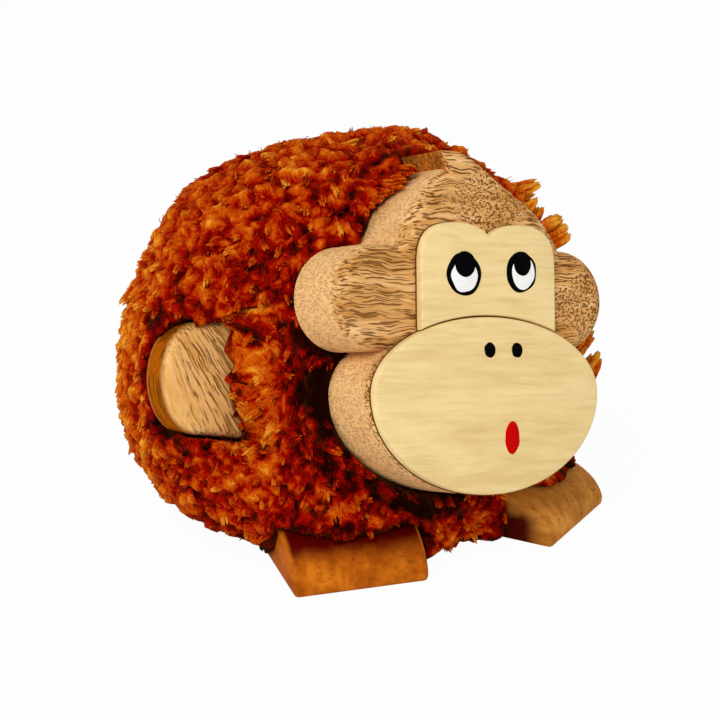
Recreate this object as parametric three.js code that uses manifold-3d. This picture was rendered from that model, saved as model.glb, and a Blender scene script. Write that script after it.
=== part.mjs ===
// Monkey figure: a trimmed yarn ball with a sawn wooden head, two arms and two feet.
// Millimetres, +Z up, the face looks along -Y. The origin is on the ground, under the middle of the figure.
import * as THREE from "three";
import { mergeVertices } from "three/addons/utils/BufferGeometryUtils.js";
import Module from "manifold-3d";

// Yarn ball: cut pile around a wooden core, pressed flat where it sits and where the head lies on it
const YARN_RADIUS = 59.3;
const YARN_CROWN = 55.5;
const YARN_SAG = 45.5;
const YARN_CENTRE_HEIGHT = 39.5;
const YARN_CROWN_POWER = 2.05;
const YARN_SAG_POWER = 3;
const YARN_DETAIL = 13;
const YARN_CLEARANCE = 0.4;
const TUFT_COUNT = 430;
const TUFT_RELIEF = 2.2;
const TUFT_REACH_DEG = 6.5;
const FLANK_FLAT_RIGHT = 45;
const FLANK_FLAT_LEFT = 54;
const FLANK_TURN_DEG = 53;
const FLANK_RISE_DEG = 20;
const FLAT_SOFTNESS = 4;

// Wooden core and the cord that ties the yarn to it
const CORE_RADIUS = 20;
const GROOVE_BEHIND_CENTRE = 10;
const GROOVE_DEPTH = 2.6;
const CORD_DIAMETER = 4;
const CORD_CLEARANCE = 0.3;

// Head: one sawn board, leaning back and cocked to the figure's left
const HEAD_THICKNESS = 17.5;
const HEAD_LEAN_DEG = 16.4;
const HEAD_COCK_DEG = 10.4;
const HEAD_FORWARD = 51.5;
const HEAD_HEIGHT = 42.8;
const HEAD_PRESSED_IN = 0.5;
const SKULL_RADIUS = 27.2;
const SKULL_RISE = 22.3;
const SKULL_ROUNDING = 4.5;
const SKULL_PEAK = 4.8;
const SKULL_PEAK_SIDE = -9;
const SKULL_PEAK_REACH = 18;
const EAR_RIGHT_REACH = 41.5;
const EAR_LEFT_REACH = 37.5;
const EAR_HEIGHT = 24.5;
const EAR_RISE = 22.1;
const MUZZLE_WIDTH = 64.8;
const MUZZLE_UPPER = 17.8;
const MUZZLE_LOWER = 23.6;
const MUZZLE_ROUNDING = 1.2;
const COWLICK_LEFT = -11.2;
const COWLICK_TOP_WIDTH = 4.6;
const COWLICK_SWEEP = 20;
const COWLICK_HEIGHT = 6.9;
const COWLICK_OVERHANG = 0.4;
const COWLICK_ROUNDING = 1.3;

// Pale plates glued on the face
const PLATE_THICKNESS = 2;
const PLATE_EASING = 0.6;
const GLUE_LINE = 0.3;
const PLATE_SEAM = 0.4;
const BROW_WIDTH = 39;
const BROW_HEIGHT = 39.6;
const BROW_LOBE_SPREAD = 18.4;
const BROW_SHOULDER = 30;
const BROW_NOTCH_DEPTH = 3;
const BROW_CORNER = 3;

// Arms: D-shaped boards that point up and out
const ARM_THICKNESS = 11;
const ARM_TIP_HEIGHT = 27;
const ARM_TIP_DEPTH = 10;
const ARM_ROOT_HEIGHT = 33;
const ARM_ROUNDING = 2.4;
const ARM_REACH = 61;
const ARM_ROOT_GAP = 3;
const ARM_LENGTH = ARM_REACH - CORE_RADIUS - ARM_ROOT_GAP;
const ARM_FORWARD = 7.6;
const ARM_TIP_RISE = 46;
const ARM_RAISE_DEG = 10.4;
const ARM_LEAN_DEG = 16.4;
const ARM_SHOWN = 19;
const ARM_PARTING = 2;

// Feet: blocks with a rounded toe, turned out
const FOOT_WIDTH = 32.8;
const FOOT_LENGTH = 40;
const FOOT_HEIGHT = 12.8;
const FOOT_TOE_FACE = 2.5;
const FOOT_TOE_ROLL = 15;
const FOOT_NOSE_SETBACK = 1.8;
const FOOT_NOSE_HEIGHT = 9.6;
const FOOT_EASING = 1.2;
const FOOT_SPREAD = 66;
const FOOT_FORWARD = 48.8;
const FOOT_SPLAY_RIGHT_DEG = 17.5;
const FOOT_SPLAY_LEFT_DEG = 26;

// Dowels that pin each wooden piece to the core
const NECK_DOWEL_DIAMETER = 10;
const LIMB_DOWEL_DIAMETER = 8;
const DOWEL_SEAT = 8;
const DOWEL_CLEARANCE = 0.3;
const FOOT_DOWEL_SETBACK = 25;

const RAD = Math.PI / 180;
const CURVE_STEPS = 12;
const RING_STEPS = 28;
const SECTION_STEPS = 8;
const UP = new THREE.Vector3(0, 0, 1);
const BALL_CENTRE = new THREE.Vector3(0, 0, YARN_CENTRE_HEIGHT);

const wasm = await Module();
wasm.setup();

const finish = (color, roughness) => new THREE.MeshStandardMaterial({ color, roughness, metalness: 0 });
const YARN = finish(0xa33a08, 0.95);
const CORD = finish(0xd9c7a0, 0.9);
const BROWN_WOOD = finish(0xc08a50, 0.6);
const PALE_WOOD = finish(0xeacf94, 0.45);
const FOOT_WOOD = finish(0xb5702f, 0.4);
const INNER_WOOD = finish(0xd8b27a, 0.7);

// Turns a closed geometry into a solid for joining and cutting.
function solidOf(geometry) {
  const bare = geometry.clone();
  bare.deleteAttribute("normal");
  bare.deleteAttribute("uv");
  const merged = mergeVertices(bare, 1e-4);
  return new wasm.Manifold(
    new wasm.Mesh({
      numProp: 3,
      vertProperties: new Float32Array(merged.attributes.position.array),
      triVerts: new Uint32Array(merged.index.array),
    }),
  );
}

// Turns a solid back into a geometry with flat-shaded normals.
function geometryOf(solid) {
  const { vertProperties, triVerts } = solid.getMesh();
  const geometry = new THREE.BufferGeometry();
  geometry.setAttribute("position", new THREE.BufferAttribute(new Float32Array(vertProperties), 3));
  geometry.setIndex(new THREE.BufferAttribute(new Uint32Array(triVerts), 1));
  const flat = geometry.toNonIndexed();
  flat.computeVertexNormals();
  return flat;
}

// A geometry moved from an object's own frame into the figure's frame.
const inFigure = (geometry, object) => geometry.clone().applyMatrix4(object.matrixWorld);

const join = (solids) => solids.reduce((whole, next) => whole.add(next));
const cut = (solid, cutters) => cutters.reduce((rest, cutter) => rest.subtract(cutter), solid);

function named(name, geometry, material) {
  const mesh = new THREE.Mesh(geometry, material);
  mesh.name = name;
  return mesh;
}

// A board sawn to an outline, upright, its front face at y = 0 and its edges rounded over.
function board(outline, thickness, rounding, steps = 3) {
  const geometry = new THREE.ExtrudeGeometry(outline, {
    depth: thickness - 2 * rounding,
    curveSegments: CURVE_STEPS,
    bevelEnabled: true,
    bevelThickness: rounding,
    bevelSize: rounding,
    bevelOffset: -rounding,
    bevelSegments: steps,
  });
  geometry.translate(0, 0, rounding - thickness);
  return geometry.rotateX(Math.PI / 2);
}

// Head outlines, drawn in the board's plane from the middle of the muzzle
function muzzleOutline(grow = 0) {
  const outline = new THREE.Shape();
  const half = MUZZLE_WIDTH / 2 + grow;
  outline.absellipse(0, 0, half, MUZZLE_UPPER + grow, 0, Math.PI);
  outline.absellipse(0, 0, half, MUZZLE_LOWER + grow, Math.PI, 2 * Math.PI);
  return outline;
}

// A circle that rises to a soft peak under the tuft
function skullOutline(grow = 0) {
  const radius = SKULL_RADIUS + grow;
  const points = [];
  for (let i = 0; i < 4 * CURVE_STEPS; i++) {
    const angle = (i / (4 * CURVE_STEPS)) * 2 * Math.PI;
    const x = radius * Math.cos(angle);
    const aside = Math.min(1, Math.abs(x - SKULL_PEAK_SIDE) / SKULL_PEAK_REACH);
    const peak = angle < Math.PI ? SKULL_PEAK * Math.cos((aside * Math.PI) / 2) ** 2 : 0;
    points.push(new THREE.Vector2(x, SKULL_RISE + radius * Math.sin(angle) + peak));
  }
  return new THREE.Shape(points);
}

function earOutline(grow = 0) {
  const outline = new THREE.Shape();
  const radius = EAR_HEIGHT / 2 + grow;
  const left = EAR_LEFT_REACH - EAR_HEIGHT / 2;
  const right = EAR_HEIGHT / 2 - EAR_RIGHT_REACH;
  outline.absarc(left, EAR_RISE, radius, -Math.PI / 2, Math.PI / 2);
  outline.absarc(right, EAR_RISE, radius, Math.PI / 2, 1.5 * Math.PI);
  return outline;
}

// Tuft on the crown: an overhanging side, a short flat top and a long sweep down to the skull.
function cowlickOutline(grow = 0) {
  const crown = SKULL_RISE + SKULL_RADIUS;
  const rooted = SKULL_RISE + SKULL_RADIUS / 2;
  const left = COWLICK_LEFT - grow;
  const top = crown + COWLICK_HEIGHT + grow;
  const right = COWLICK_LEFT + COWLICK_SWEEP + grow;
  const flatEnd = COWLICK_LEFT + COWLICK_TOP_WIDTH + grow;
  const outline = new THREE.Shape();
  outline.moveTo(left + COWLICK_OVERHANG * (top - rooted), rooted);
  outline.lineTo(right, rooted);
  outline.lineTo(right, crown - COWLICK_HEIGHT / 4);
  const steep = right - COWLICK_SWEEP / 4;
  const gentle = flatEnd + 0.35 * COWLICK_SWEEP;
  outline.bezierCurveTo(steep, crown, gentle, top - 0.3 * COWLICK_HEIGHT, flatEnd, top);
  outline.lineTo(left, top);
  outline.closePath();
  return outline;
}

// Brow plate: its foot follows the muzzle plate's top edge, its head is two shallow lobes.
function browOutline() {
  const half = BROW_WIDTH / 2;
  const lobe = BROW_LOBE_SPREAD / 2;
  const brim = BROW_HEIGHT - BROW_CORNER;
  const dip = BROW_HEIGHT - BROW_NOTCH_DEPTH / 3;
  const near = BROW_NOTCH_DEPTH / 2;
  const seam = (x) => MUZZLE_UPPER * Math.sqrt(1 - (x / (MUZZLE_WIDTH / 2)) ** 2) + PLATE_SEAM;
  const outline = new THREE.Shape();
  outline.moveTo(-half, seam(half));
  for (let i = 1; i <= CURVE_STEPS; i++) {
    const x = -half + (BROW_WIDTH * i) / CURVE_STEPS;
    outline.lineTo(x, seam(x));
  }
  outline.lineTo(half, BROW_SHOULDER);
  outline.bezierCurveTo(half, brim, half - BROW_CORNER, BROW_HEIGHT, lobe, BROW_HEIGHT);
  outline.bezierCurveTo(lobe / 2, BROW_HEIGHT, near, dip, 0, BROW_HEIGHT - BROW_NOTCH_DEPTH);
  outline.bezierCurveTo(-near, dip, -lobe / 2, BROW_HEIGHT, -lobe, BROW_HEIGHT);
  outline.bezierCurveTo(BROW_CORNER - half, BROW_HEIGHT, -half, brim, -half, BROW_SHOULDER);
  outline.closePath();
  return outline;
}

// The head's boards are rounded over in front and sawn off flat behind.
function headSolid(grow = 0) {
  const thickness = HEAD_THICKNESS + 2 * grow;
  const uncut = thickness + SKULL_ROUNDING;
  const slabs = [
    board(skullOutline(grow), uncut, SKULL_ROUNDING),
    board(earOutline(grow), uncut, SKULL_ROUNDING),
    board(muzzleOutline(grow), uncut, MUZZLE_ROUNDING, 2),
    board(cowlickOutline(grow), uncut, COWLICK_ROUNDING, 2),
  ];
  const whole = join(slabs.map((slab) => solidOf(slab)));
  const room = 2 * (MUZZLE_WIDTH + SKULL_RISE + SKULL_RADIUS + SKULL_PEAK + COWLICK_HEIGHT);
  const behind = new THREE.BoxGeometry(room, room, room).translate(0, thickness + room / 2, 0);
  return whole.subtract(solidOf(behind)).translate([0, -grow, 0]);
}

// Arm outline from the tip inwards; side is +1 for the figure's left arm and -1 for its right.
function armOutline(side, length, grow = 0) {
  const tip = ARM_TIP_HEIGHT / 2 + grow;
  const slope = (ARM_ROOT_HEIGHT - ARM_TIP_HEIGHT) / 2 / (ARM_LENGTH - ARM_TIP_DEPTH);
  const root = tip + slope * (length - ARM_TIP_DEPTH + grow);
  const points = [new THREE.Vector2(-length - grow, -root)];
  for (let i = 0; i <= 2 * CURVE_STEPS; i++) {
    const angle = (i / (2 * CURVE_STEPS) - 0.5) * Math.PI;
    const out = (ARM_TIP_DEPTH + grow) * Math.cos(angle) - ARM_TIP_DEPTH;
    points.push(new THREE.Vector2(out, tip * Math.sin(angle)));
  }
  points.push(new THREE.Vector2(-length - grow, root));
  const outline = points.map((p) => new THREE.Vector2(side * p.x, p.y));
  return new THREE.Shape(side > 0 ? outline : outline.reverse());
}

const armBoard = (side, grow = 0) =>
  board(armOutline(side, ARM_LENGTH, grow), ARM_THICKNESS + 2 * grow, ARM_ROUNDING).translate(0, -grow, 0);

// Space in front of an arm where the yarn is parted, so that the arm's face shows.
function armParting(side) {
  const ahead = YARN_RADIUS;
  const depth = ahead + ARM_THICKNESS / 2;
  return board(armOutline(side, ARM_SHOWN, ARM_PARTING), depth, ARM_ROUNDING).translate(0, -ahead, 0);
}

// Foot block: its side profile, toe towards -Y, swept across the width.
function footBlock(grow = 0) {
  const toe = -grow;
  const heel = FOOT_LENGTH + grow;
  const sole = -grow;
  const top = FOOT_HEIGHT + grow;
  const profile = new THREE.Shape();
  profile.moveTo(toe, sole);
  profile.lineTo(heel, sole);
  profile.lineTo(heel, top);
  profile.lineTo(toe + FOOT_TOE_ROLL, top);
  profile.quadraticCurveTo(toe + FOOT_NOSE_SETBACK, FOOT_NOSE_HEIGHT + grow, toe, FOOT_TOE_FACE);
  profile.closePath();
  const width = FOOT_WIDTH + 2 * grow;
  const geometry = new THREE.ExtrudeGeometry(profile, {
    depth: width - 2 * FOOT_EASING,
    curveSegments: CURVE_STEPS / 2,
    bevelEnabled: true,
    bevelThickness: FOOT_EASING,
    bevelSize: FOOT_EASING,
    bevelOffset: -FOOT_EASING,
    bevelSegments: 2,
  });
  geometry.translate(0, 0, FOOT_EASING - width / 2);
  const turn = new THREE.Matrix4().makeBasis(new THREE.Vector3(0, 1, 0), UP, new THREE.Vector3(1, 0, 0));
  return geometry.applyMatrix4(turn);
}

// A round rod between two points, with room left at both ends and round it when grow is given.
function rod(from, to, diameter, grow = 0) {
  const along = to.clone().sub(from);
  const geometry = new THREE.CylinderGeometry(diameter / 2 + grow, diameter / 2 + grow, along.length() + 2 * grow, 18);
  const turn = new THREE.Quaternion().setFromUnitVectors(new THREE.Vector3(0, 1, 0), along.normalize());
  return geometry.applyQuaternion(turn).translate(...from.clone().add(to).multiplyScalar(0.5));
}

// Ball turned about the front-to-back axis, with a groove for the cord.
function coreSolid() {
  const ringRadius = Math.sqrt(CORE_RADIUS ** 2 - GROOVE_BEHIND_CENTRE ** 2);
  const ball = new THREE.SphereGeometry(CORE_RADIUS, 24, 14);
  const groove = ring(ringRadius - GROOVE_DEPTH, CORD_DIAMETER / 2 + CORD_CLEARANCE, ringRadius);
  return solidOf(ball).subtract(solidOf(groove)).translate(BALL_CENTRE.toArray());
}

// Ring about the front-to-back axis: a round section, deepened outwards to outer when that is given.
function ring(inner, radius, outer = 0) {
  const middle = inner + radius;
  const section = [];
  const reach = Math.max(outer - middle, 0) * 2;
  for (let i = 0; i < SECTION_STEPS; i++) {
    const angle = ((i + 0.5) / SECTION_STEPS) * 2 * Math.PI;
    const out = Math.cos(angle) > 0 ? reach : 0;
    section.push(new THREE.Vector2(middle + out + radius * Math.cos(angle), radius * Math.sin(angle)));
  }
  section.push(section[0].clone());
  return new THREE.LatheGeometry(section, RING_STEPS).translate(0, GROOVE_BEHIND_CENTRE, 0);
}

function cordSolid() {
  const ringRadius = Math.sqrt(CORE_RADIUS ** 2 - GROOVE_BEHIND_CENTRE ** 2);
  const inner = ringRadius - GROOVE_DEPTH + CORD_CLEARANCE;
  return solidOf(ring(inner, CORD_DIAMETER / 2)).translate(BALL_CENTRE.toArray());
}

// Evenly spread tuft directions over the ball.
function tuftDirections() {
  const golden = Math.PI * (3 - Math.sqrt(5));
  return Array.from({ length: TUFT_COUNT }, (_, i) => {
    const z = 1 - (2 * (i + 0.5)) / TUFT_COUNT;
    const flat = Math.sqrt(1 - z * z);
    return new THREE.Vector3(flat * Math.cos(golden * i), flat * Math.sin(golden * i), z);
  });
}

// Draws a point back behind a plane, softly near the plane.
function pressBehind(point, normal, distance) {
  const past = (point.dot(normal) - distance) / FLAT_SOFTNESS;
  const press = past > 20 ? past : Math.log1p(Math.exp(past));
  return point.addScaledVector(normal, -press * FLAT_SOFTNESS);
}

// Outer shape of the trimmed pile: a ball that sags on its seat, flat behind the head, lumpy with tufts.
function yarnSolid(headPlane) {
  const tufts = tuftDirections();
  const reach = Math.cos(TUFT_REACH_DEG * RAD);
  const turn = FLANK_TURN_DEG * RAD;
  const rise = Math.tan(FLANK_RISE_DEG * RAD);
  const flanks = [
    { sign: -1, distance: FLANK_FLAT_RIGHT },
    { sign: 1, distance: FLANK_FLAT_LEFT },
  ];
  for (const flank of flanks) {
    flank.normal = new THREE.Vector3(flank.sign * Math.sin(turn), -Math.cos(turn), rise).normalize();
  }
  const geometry = new THREE.IcosahedronGeometry(1, YARN_DETAIL);
  const position = geometry.attributes.position;
  const point = new THREE.Vector3();
  for (let i = 0; i < position.count; i++) {
    point.fromBufferAttribute(position, i).normalize();
    const nearest = tufts.reduce((best, tuft) => Math.max(best, tuft.dot(point)), -1);
    const lump = TUFT_RELIEF * Math.max(0, (nearest - reach) / (1 - reach));
    const depth = point.z > 0 ? YARN_CROWN : YARN_SAG;
    const power = point.z > 0 ? YARN_CROWN_POWER : YARN_SAG_POWER;
    const spread = Math.hypot(point.x, point.y) / YARN_RADIUS;
    const radius = (spread ** power + (Math.abs(point.z) / depth) ** power) ** (-1 / power);
    point.multiplyScalar(radius + lump);
    pressBehind(point, headPlane.normal, headPlane.distance + lump);
    for (const { normal, distance } of flanks) pressBehind(point, normal, distance + lump);
    point.z = Math.max(point.z, -YARN_CENTRE_HEIGHT);
    position.setXYZ(i, point.x, point.y, point.z);
  }
  return solidOf(geometry).translate(BALL_CENTRE.toArray());
}

// Frames of the posed pieces
const figure = new THREE.Group();

const head = new THREE.Group();
head.position.set(0, -HEAD_FORWARD, HEAD_HEIGHT);
head.rotation.set(-HEAD_LEAN_DEG * RAD, HEAD_COCK_DEG * RAD, 0);
figure.add(head);

const sides = [
  { name: "right", sign: -1, splay: FOOT_SPLAY_RIGHT_DEG },
  { name: "left", sign: 1, splay: FOOT_SPLAY_LEFT_DEG },
];
for (const side of sides) {
  side.arm = new THREE.Group();
  side.arm.position.set(side.sign * ARM_REACH, -ARM_FORWARD, ARM_TIP_RISE);
  side.arm.rotation.set(-ARM_LEAN_DEG * RAD, -side.sign * ARM_RAISE_DEG * RAD, 0);
  side.foot = new THREE.Group();
  side.foot.position.set((side.sign * FOOT_SPREAD) / 2, -FOOT_FORWARD, 0);
  side.foot.rotation.z = side.sign * side.splay * RAD;
  figure.add(side.arm, side.foot);
}
figure.updateMatrixWorld(true);

// Dowels: each starts in its piece and ends in the core, along a line through the ball's centre.
const towardsCore = (start) => {
  const line = start.clone().sub(BALL_CENTRE).normalize();
  return BALL_CENTRE.clone().addScaledVector(line, CORE_RADIUS - DOWEL_SEAT);
};
const dowels = [];
const addDowel = (name, seat, owner, diameter) => {
  const inwards = BALL_CENTRE.clone().sub(seat).normalize();
  const start = seat.clone().addScaledVector(inwards, -DOWEL_SEAT);
  const end = towardsCore(seat);
  dowels.push({
    name,
    owner,
    body: rod(start, end, diameter),
    hole: solidOf(rod(start, end, diameter, DOWEL_CLEARANCE)),
  });
};

const headBack = new THREE.Vector3(0, HEAD_THICKNESS, 0);
const facing = new THREE.Vector3(0, -1, 0).transformDirection(head.matrixWorld);
const backPoint = headBack.clone().applyMatrix4(head.matrixWorld).sub(BALL_CENTRE);
const headDistance = backPoint.dot(facing);
addDowel(
  "neck_dowel",
  BALL_CENTRE.clone().addScaledVector(facing, headDistance),
  "head_block",
  NECK_DOWEL_DIAMETER,
);
for (const { name, sign, arm, foot } of sides) {
  const armRoot = new THREE.Vector3(-sign * ARM_LENGTH, ARM_THICKNESS / 2, 0);
  addDowel(`${name}_arm_dowel`, armRoot.applyMatrix4(arm.matrixWorld), `${name}_arm`, LIMB_DOWEL_DIAMETER);
  const footTop = new THREE.Vector3(0, FOOT_DOWEL_SETBACK, FOOT_HEIGHT);
  addDowel(`${name}_foot_dowel`, footTop.applyMatrix4(foot.matrixWorld), `${name}_foot`, LIMB_DOWEL_DIAMETER);
}
const holesIn = (owner) => dowels.filter((dowel) => dowel.owner === owner).map((dowel) => dowel.hole);

// Cuts a piece in its own frame with holes that are given in the figure's frame.
function drilled(solid, frame, owner) {
  const inverse = frame.matrixWorld.clone().invert();
  const holes = holesIn(owner).map((hole) => solidOf(geometryOf(hole).applyMatrix4(inverse)));
  return geometryOf(cut(solid, holes));
}

// Head and its face plates
const plateFront = -(GLUE_LINE + PLATE_THICKNESS);
const facePlate = (outline) => board(outline, PLATE_THICKNESS, PLATE_EASING, 1).translate(0, plateFront, 0);
head.add(
  named("head_block", drilled(headSolid(), head, "head_block"), BROWN_WOOD),
  named("brow_plate", facePlate(browOutline()), PALE_WOOD),
  named("muzzle_plate", facePlate(muzzleOutline()), PALE_WOOD),
);

// Arms and feet
for (const { name, sign, arm, foot } of sides) {
  arm.add(named(`${name}_arm`, drilled(solidOf(armBoard(sign)), arm, `${name}_arm`), BROWN_WOOD));
  foot.add(named(`${name}_foot`, drilled(solidOf(footBlock()), foot, `${name}_foot`), FOOT_WOOD));
}

// Core, cord and dowels
const allHoles = dowels.map((dowel) => dowel.hole);
figure.add(named("body_core", geometryOf(cut(coreSolid(), allHoles)), INNER_WOOD));
figure.add(named("tie_cord", geometryOf(cordSolid()), CORD));
for (const { name, body } of dowels) figure.add(named(name, body, INNER_WOOD));

// Yarn, with a pocket round every piece that it holds
const pockets = [
  solidOf(inFigure(geometryOf(headSolid(YARN_CLEARANCE)), head)),
  solidOf(new THREE.SphereGeometry(CORE_RADIUS + YARN_CLEARANCE, 24, 14).translate(...BALL_CENTRE)),
  ...dowels.map((dowel) => dowel.hole),
];
for (const { sign, arm, foot } of sides) {
  pockets.push(solidOf(inFigure(armBoard(sign, YARN_CLEARANCE), arm)));
  pockets.push(solidOf(inFigure(armParting(sign), arm)));
  pockets.push(solidOf(inFigure(footBlock(YARN_CLEARANCE), foot)));
}
const cordPocket = ring(
  Math.sqrt(CORE_RADIUS ** 2 - GROOVE_BEHIND_CENTRE ** 2) - GROOVE_DEPTH,
  CORD_DIAMETER / 2 + YARN_CLEARANCE,
);
pockets.push(solidOf(cordPocket.translate(...BALL_CENTRE)));
const headPlane = { normal: facing, distance: headDistance + HEAD_PRESSED_IN };
figure.add(named("yarn_body", geometryOf(cut(yarnSolid(headPlane), pockets)), YARN));

// The origin goes to the middle of the figure's footprint.
figure.updateMatrixWorld(true);
const middle = new THREE.Box3().setFromObject(figure, true).getCenter(new THREE.Vector3());
const monkey = new THREE.Group();
figure.position.set(-middle.x, -middle.y, 0);
monkey.add(figure);

export default monkey;
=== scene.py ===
"""Looks of a seated monkey figure: a ball of cut yarn pile with a sawn wooden head, arms and feet.

Every size is in millimetres in the classes below and turns into metres when a mesh is made.
"""

import logging
import math
import random
from dataclasses import dataclass, field, replace
from enum import Enum
from typing import Callable, Iterable, NamedTuple, Optional, Sequence

import bmesh
import bpy
import numpy as np
from mathutils import Matrix, Vector, noise
from mathutils.bvhtree import BVHTree
from mathutils.geometry import interpolate_bezier


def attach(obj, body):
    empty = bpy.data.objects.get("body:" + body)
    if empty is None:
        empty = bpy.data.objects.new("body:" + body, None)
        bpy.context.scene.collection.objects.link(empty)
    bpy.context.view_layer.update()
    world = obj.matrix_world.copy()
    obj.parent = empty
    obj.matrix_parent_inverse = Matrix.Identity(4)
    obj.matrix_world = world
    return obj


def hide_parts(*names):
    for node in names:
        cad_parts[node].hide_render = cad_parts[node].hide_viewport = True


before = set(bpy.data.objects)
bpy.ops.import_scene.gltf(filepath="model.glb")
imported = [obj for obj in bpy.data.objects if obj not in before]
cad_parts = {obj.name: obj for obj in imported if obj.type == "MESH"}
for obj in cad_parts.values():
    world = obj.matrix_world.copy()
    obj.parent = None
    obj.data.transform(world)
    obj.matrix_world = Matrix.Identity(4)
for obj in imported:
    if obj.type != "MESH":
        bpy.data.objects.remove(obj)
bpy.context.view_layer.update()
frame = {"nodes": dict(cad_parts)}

LOG = logging.getLogger("monkey_figure")
MM = 0.001
BODY = "root"
FULL_TURN = 2 * math.pi
GOLDEN_SHARE = 0.381966
SMOOTH_LIMIT = math.radians(32)
CENTRE = (0.0, -0.4, 39.5)

MIX_FIRST, MIX_SECOND, MIX_RESULT = 6, 7, 2

Rgb = tuple[float, float, float]
Point2 = tuple[float, float]


class Side(Enum):
    """The figure's own right and left, with the sign of its x."""

    RIGHT = -1
    LEFT = 1

    @property
    def label(self) -> str:
        """The side's name as the nodes spell it."""
        return self.name.lower()


def linear(colour: Rgb) -> tuple[float, float, float, float]:
    """Turns a screen colour into the linear colour that sockets take.

    Args:
        colour: Red, green and blue from 0 to 255.

    Returns:
        Linear red, green, blue and a full alpha.
    """
    parts = []
    for channel in colour:
        share = channel / 255
        low = share / 12.92
        high = ((share + 0.055) / 1.055) ** 2.4
        parts.append(low if share <= 0.04045 else high)
    return (parts[0], parts[1], parts[2], 1.0)


def kept_in(value: float) -> float:
    """Keeps a value between 0 and 1."""
    return min(1.0, max(0.0, value))


class Graph:
    """The node tree of one material, with short calls to add nodes and values."""

    def __init__(self, name: str) -> None:
        """Makes an empty material with a principled shader on its output."""
        self.material = bpy.data.materials.new(name)
        self.material.use_nodes = True
        self.tree = self.material.node_tree
        self.tree.nodes.clear()
        self.output = self.tree.nodes.new("ShaderNodeOutputMaterial")
        self.shader = self.add("ShaderNodeBsdfPrincipled")
        self.join(self.shader, "BSDF", self.output, "Surface")

    def add(self, kind: str, **settings: object) -> bpy.types.Node:
        """Adds a node.

        Args:
            kind: Blender's name of the node type.
            settings: Properties to set on the node.

        Returns:
            The new node.
        """
        node = self.tree.nodes.new(kind)
        for key, value in settings.items():
            setattr(node, key, value)
        return node

    def join(self, source: bpy.types.Node, out: object, target: bpy.types.Node, into: object) -> None:
        """Links one node's output to another's input."""
        self.tree.links.new(source.outputs[out], target.inputs[into])

    def feed(self, target: bpy.types.Node, into: object, value: object) -> None:
        """Gives an input a number, a colour or another node's (node, output) pair."""
        if isinstance(value, tuple) and isinstance(value[0], bpy.types.Node):
            self.join(value[0], value[1], target, into)
        else:
            target.inputs[into].default_value = value

    def put(self, node: bpy.types.Node, values: dict[str, object]) -> None:
        """Writes constants straight on a node's sockets."""
        for name, value in values.items():
            node.inputs[name].default_value = value

    def math(self, operation: str, first: object, second: object = 0.0, clamp: bool = False) -> tuple:
        """Adds a math node.

        Args:
            operation: Blender's name of the operation.
            first: Its first value or source.
            second: Its second value or source.
            clamp: Whether the result stays between 0 and 1.

        Returns:
            The node and its output, to feed on.
        """
        node = self.add("ShaderNodeMath", operation=operation, use_clamp=clamp)
        self.feed(node, 0, first)
        self.feed(node, 1, second)
        return (node, 0)

    def vector(self, operation: str, first: tuple, second: tuple) -> tuple:
        """Adds a vector math node.

        Args:
            operation: Blender's name of the operation.
            first: Source of its first vector.
            second: Its second vector or source.

        Returns:
            The node and its output, to feed on.
        """
        node = self.add("ShaderNodeVectorMath", operation=operation)
        self.feed(node, 0, first)
        self.feed(node, 1, second)
        return (node, 0)

    def stretch(self, source: tuple, factors: tuple[float, float, float]) -> tuple:
        """Multiplies a vector by three factors."""
        return self.vector("MULTIPLY", source, factors)

    def shift(self, source: tuple, other: tuple) -> tuple:
        """Adds two vectors."""
        return self.vector("ADD", source, other)

    def split(self, source: tuple) -> bpy.types.Node:
        """Takes a vector apart into its three axes."""
        node = self.add("ShaderNodeSeparateXYZ")
        self.feed(node, "Vector", source)
        return node

    def noise(self, source: tuple, scale: float, detail: float = 2.0, rough: float = 0.5) -> bpy.types.Node:
        """Adds a noise texture on a vector."""
        node = self.add("ShaderNodeTexNoise")
        self.feed(node, "Vector", source)
        self.put(node, {"Scale": scale, "Detail": detail, "Roughness": rough})
        return node

    def remap(self, source: object, low: float, high: float, start: float = 0.0, end: float = 1.0) -> tuple:
        """Maps a range of values smoothly to another range.

        Args:
            source: The value's source.
            low: Value that becomes start.
            high: Value that becomes end.
            start: Result at low.
            end: Result at high.

        Returns:
            The node and its output, to feed on.
        """
        node = self.add("ShaderNodeMapRange", interpolation_type="SMOOTHSTEP")
        self.feed(node, "Value", source)
        self.put(node, {"From Min": low, "From Max": high, "To Min": start, "To Max": end})
        return (node, "Result")

    def ramp(self, source: tuple, stops: Sequence[tuple[float, Rgb]]) -> tuple:
        """Colours a value through named stops.

        Args:
            source: The value's source.
            stops: Positions from 0 to 1 with their screen colours.

        Returns:
            The node and its output, to feed on.
        """
        node = self.add("ShaderNodeValToRGB")
        self.feed(node, "Fac", source)
        elements = node.color_ramp.elements
        while len(elements) < len(stops):
            elements.new(0.5)
        for element, (place, colour) in zip(elements, stops):
            element.position = place
            element.color = linear(colour)
        return (node, "Color")

    def blend(self, share: object, first: object, second: object) -> tuple:
        """Mixes two colours.

        Args:
            share: How much of the second, a number or a source.
            first: First colour or source.
            second: Second colour or source.

        Returns:
            The node and its output, to feed on.
        """
        node = self.add("ShaderNodeMix", data_type="RGBA")
        self.feed(node, "Factor", share)
        self.feed(node, MIX_FIRST, first)
        self.feed(node, MIX_SECOND, second)
        return (node, MIX_RESULT)

    def relief(self, height: tuple, distance: float, strength: float = 1.0) -> None:
        """Bumps the surface by a height.

        Args:
            height: Source of the height, from 0 to 1.
            distance: Depth of a height of 1, in millimetres.
            strength: How much of it shows.
        """
        node = self.add("ShaderNodeBump")
        self.put(node, {"Strength": strength, "Distance": distance * MM})
        self.feed(node, "Height", height)
        self.join(node, "Normal", self.shader, "Normal")

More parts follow.
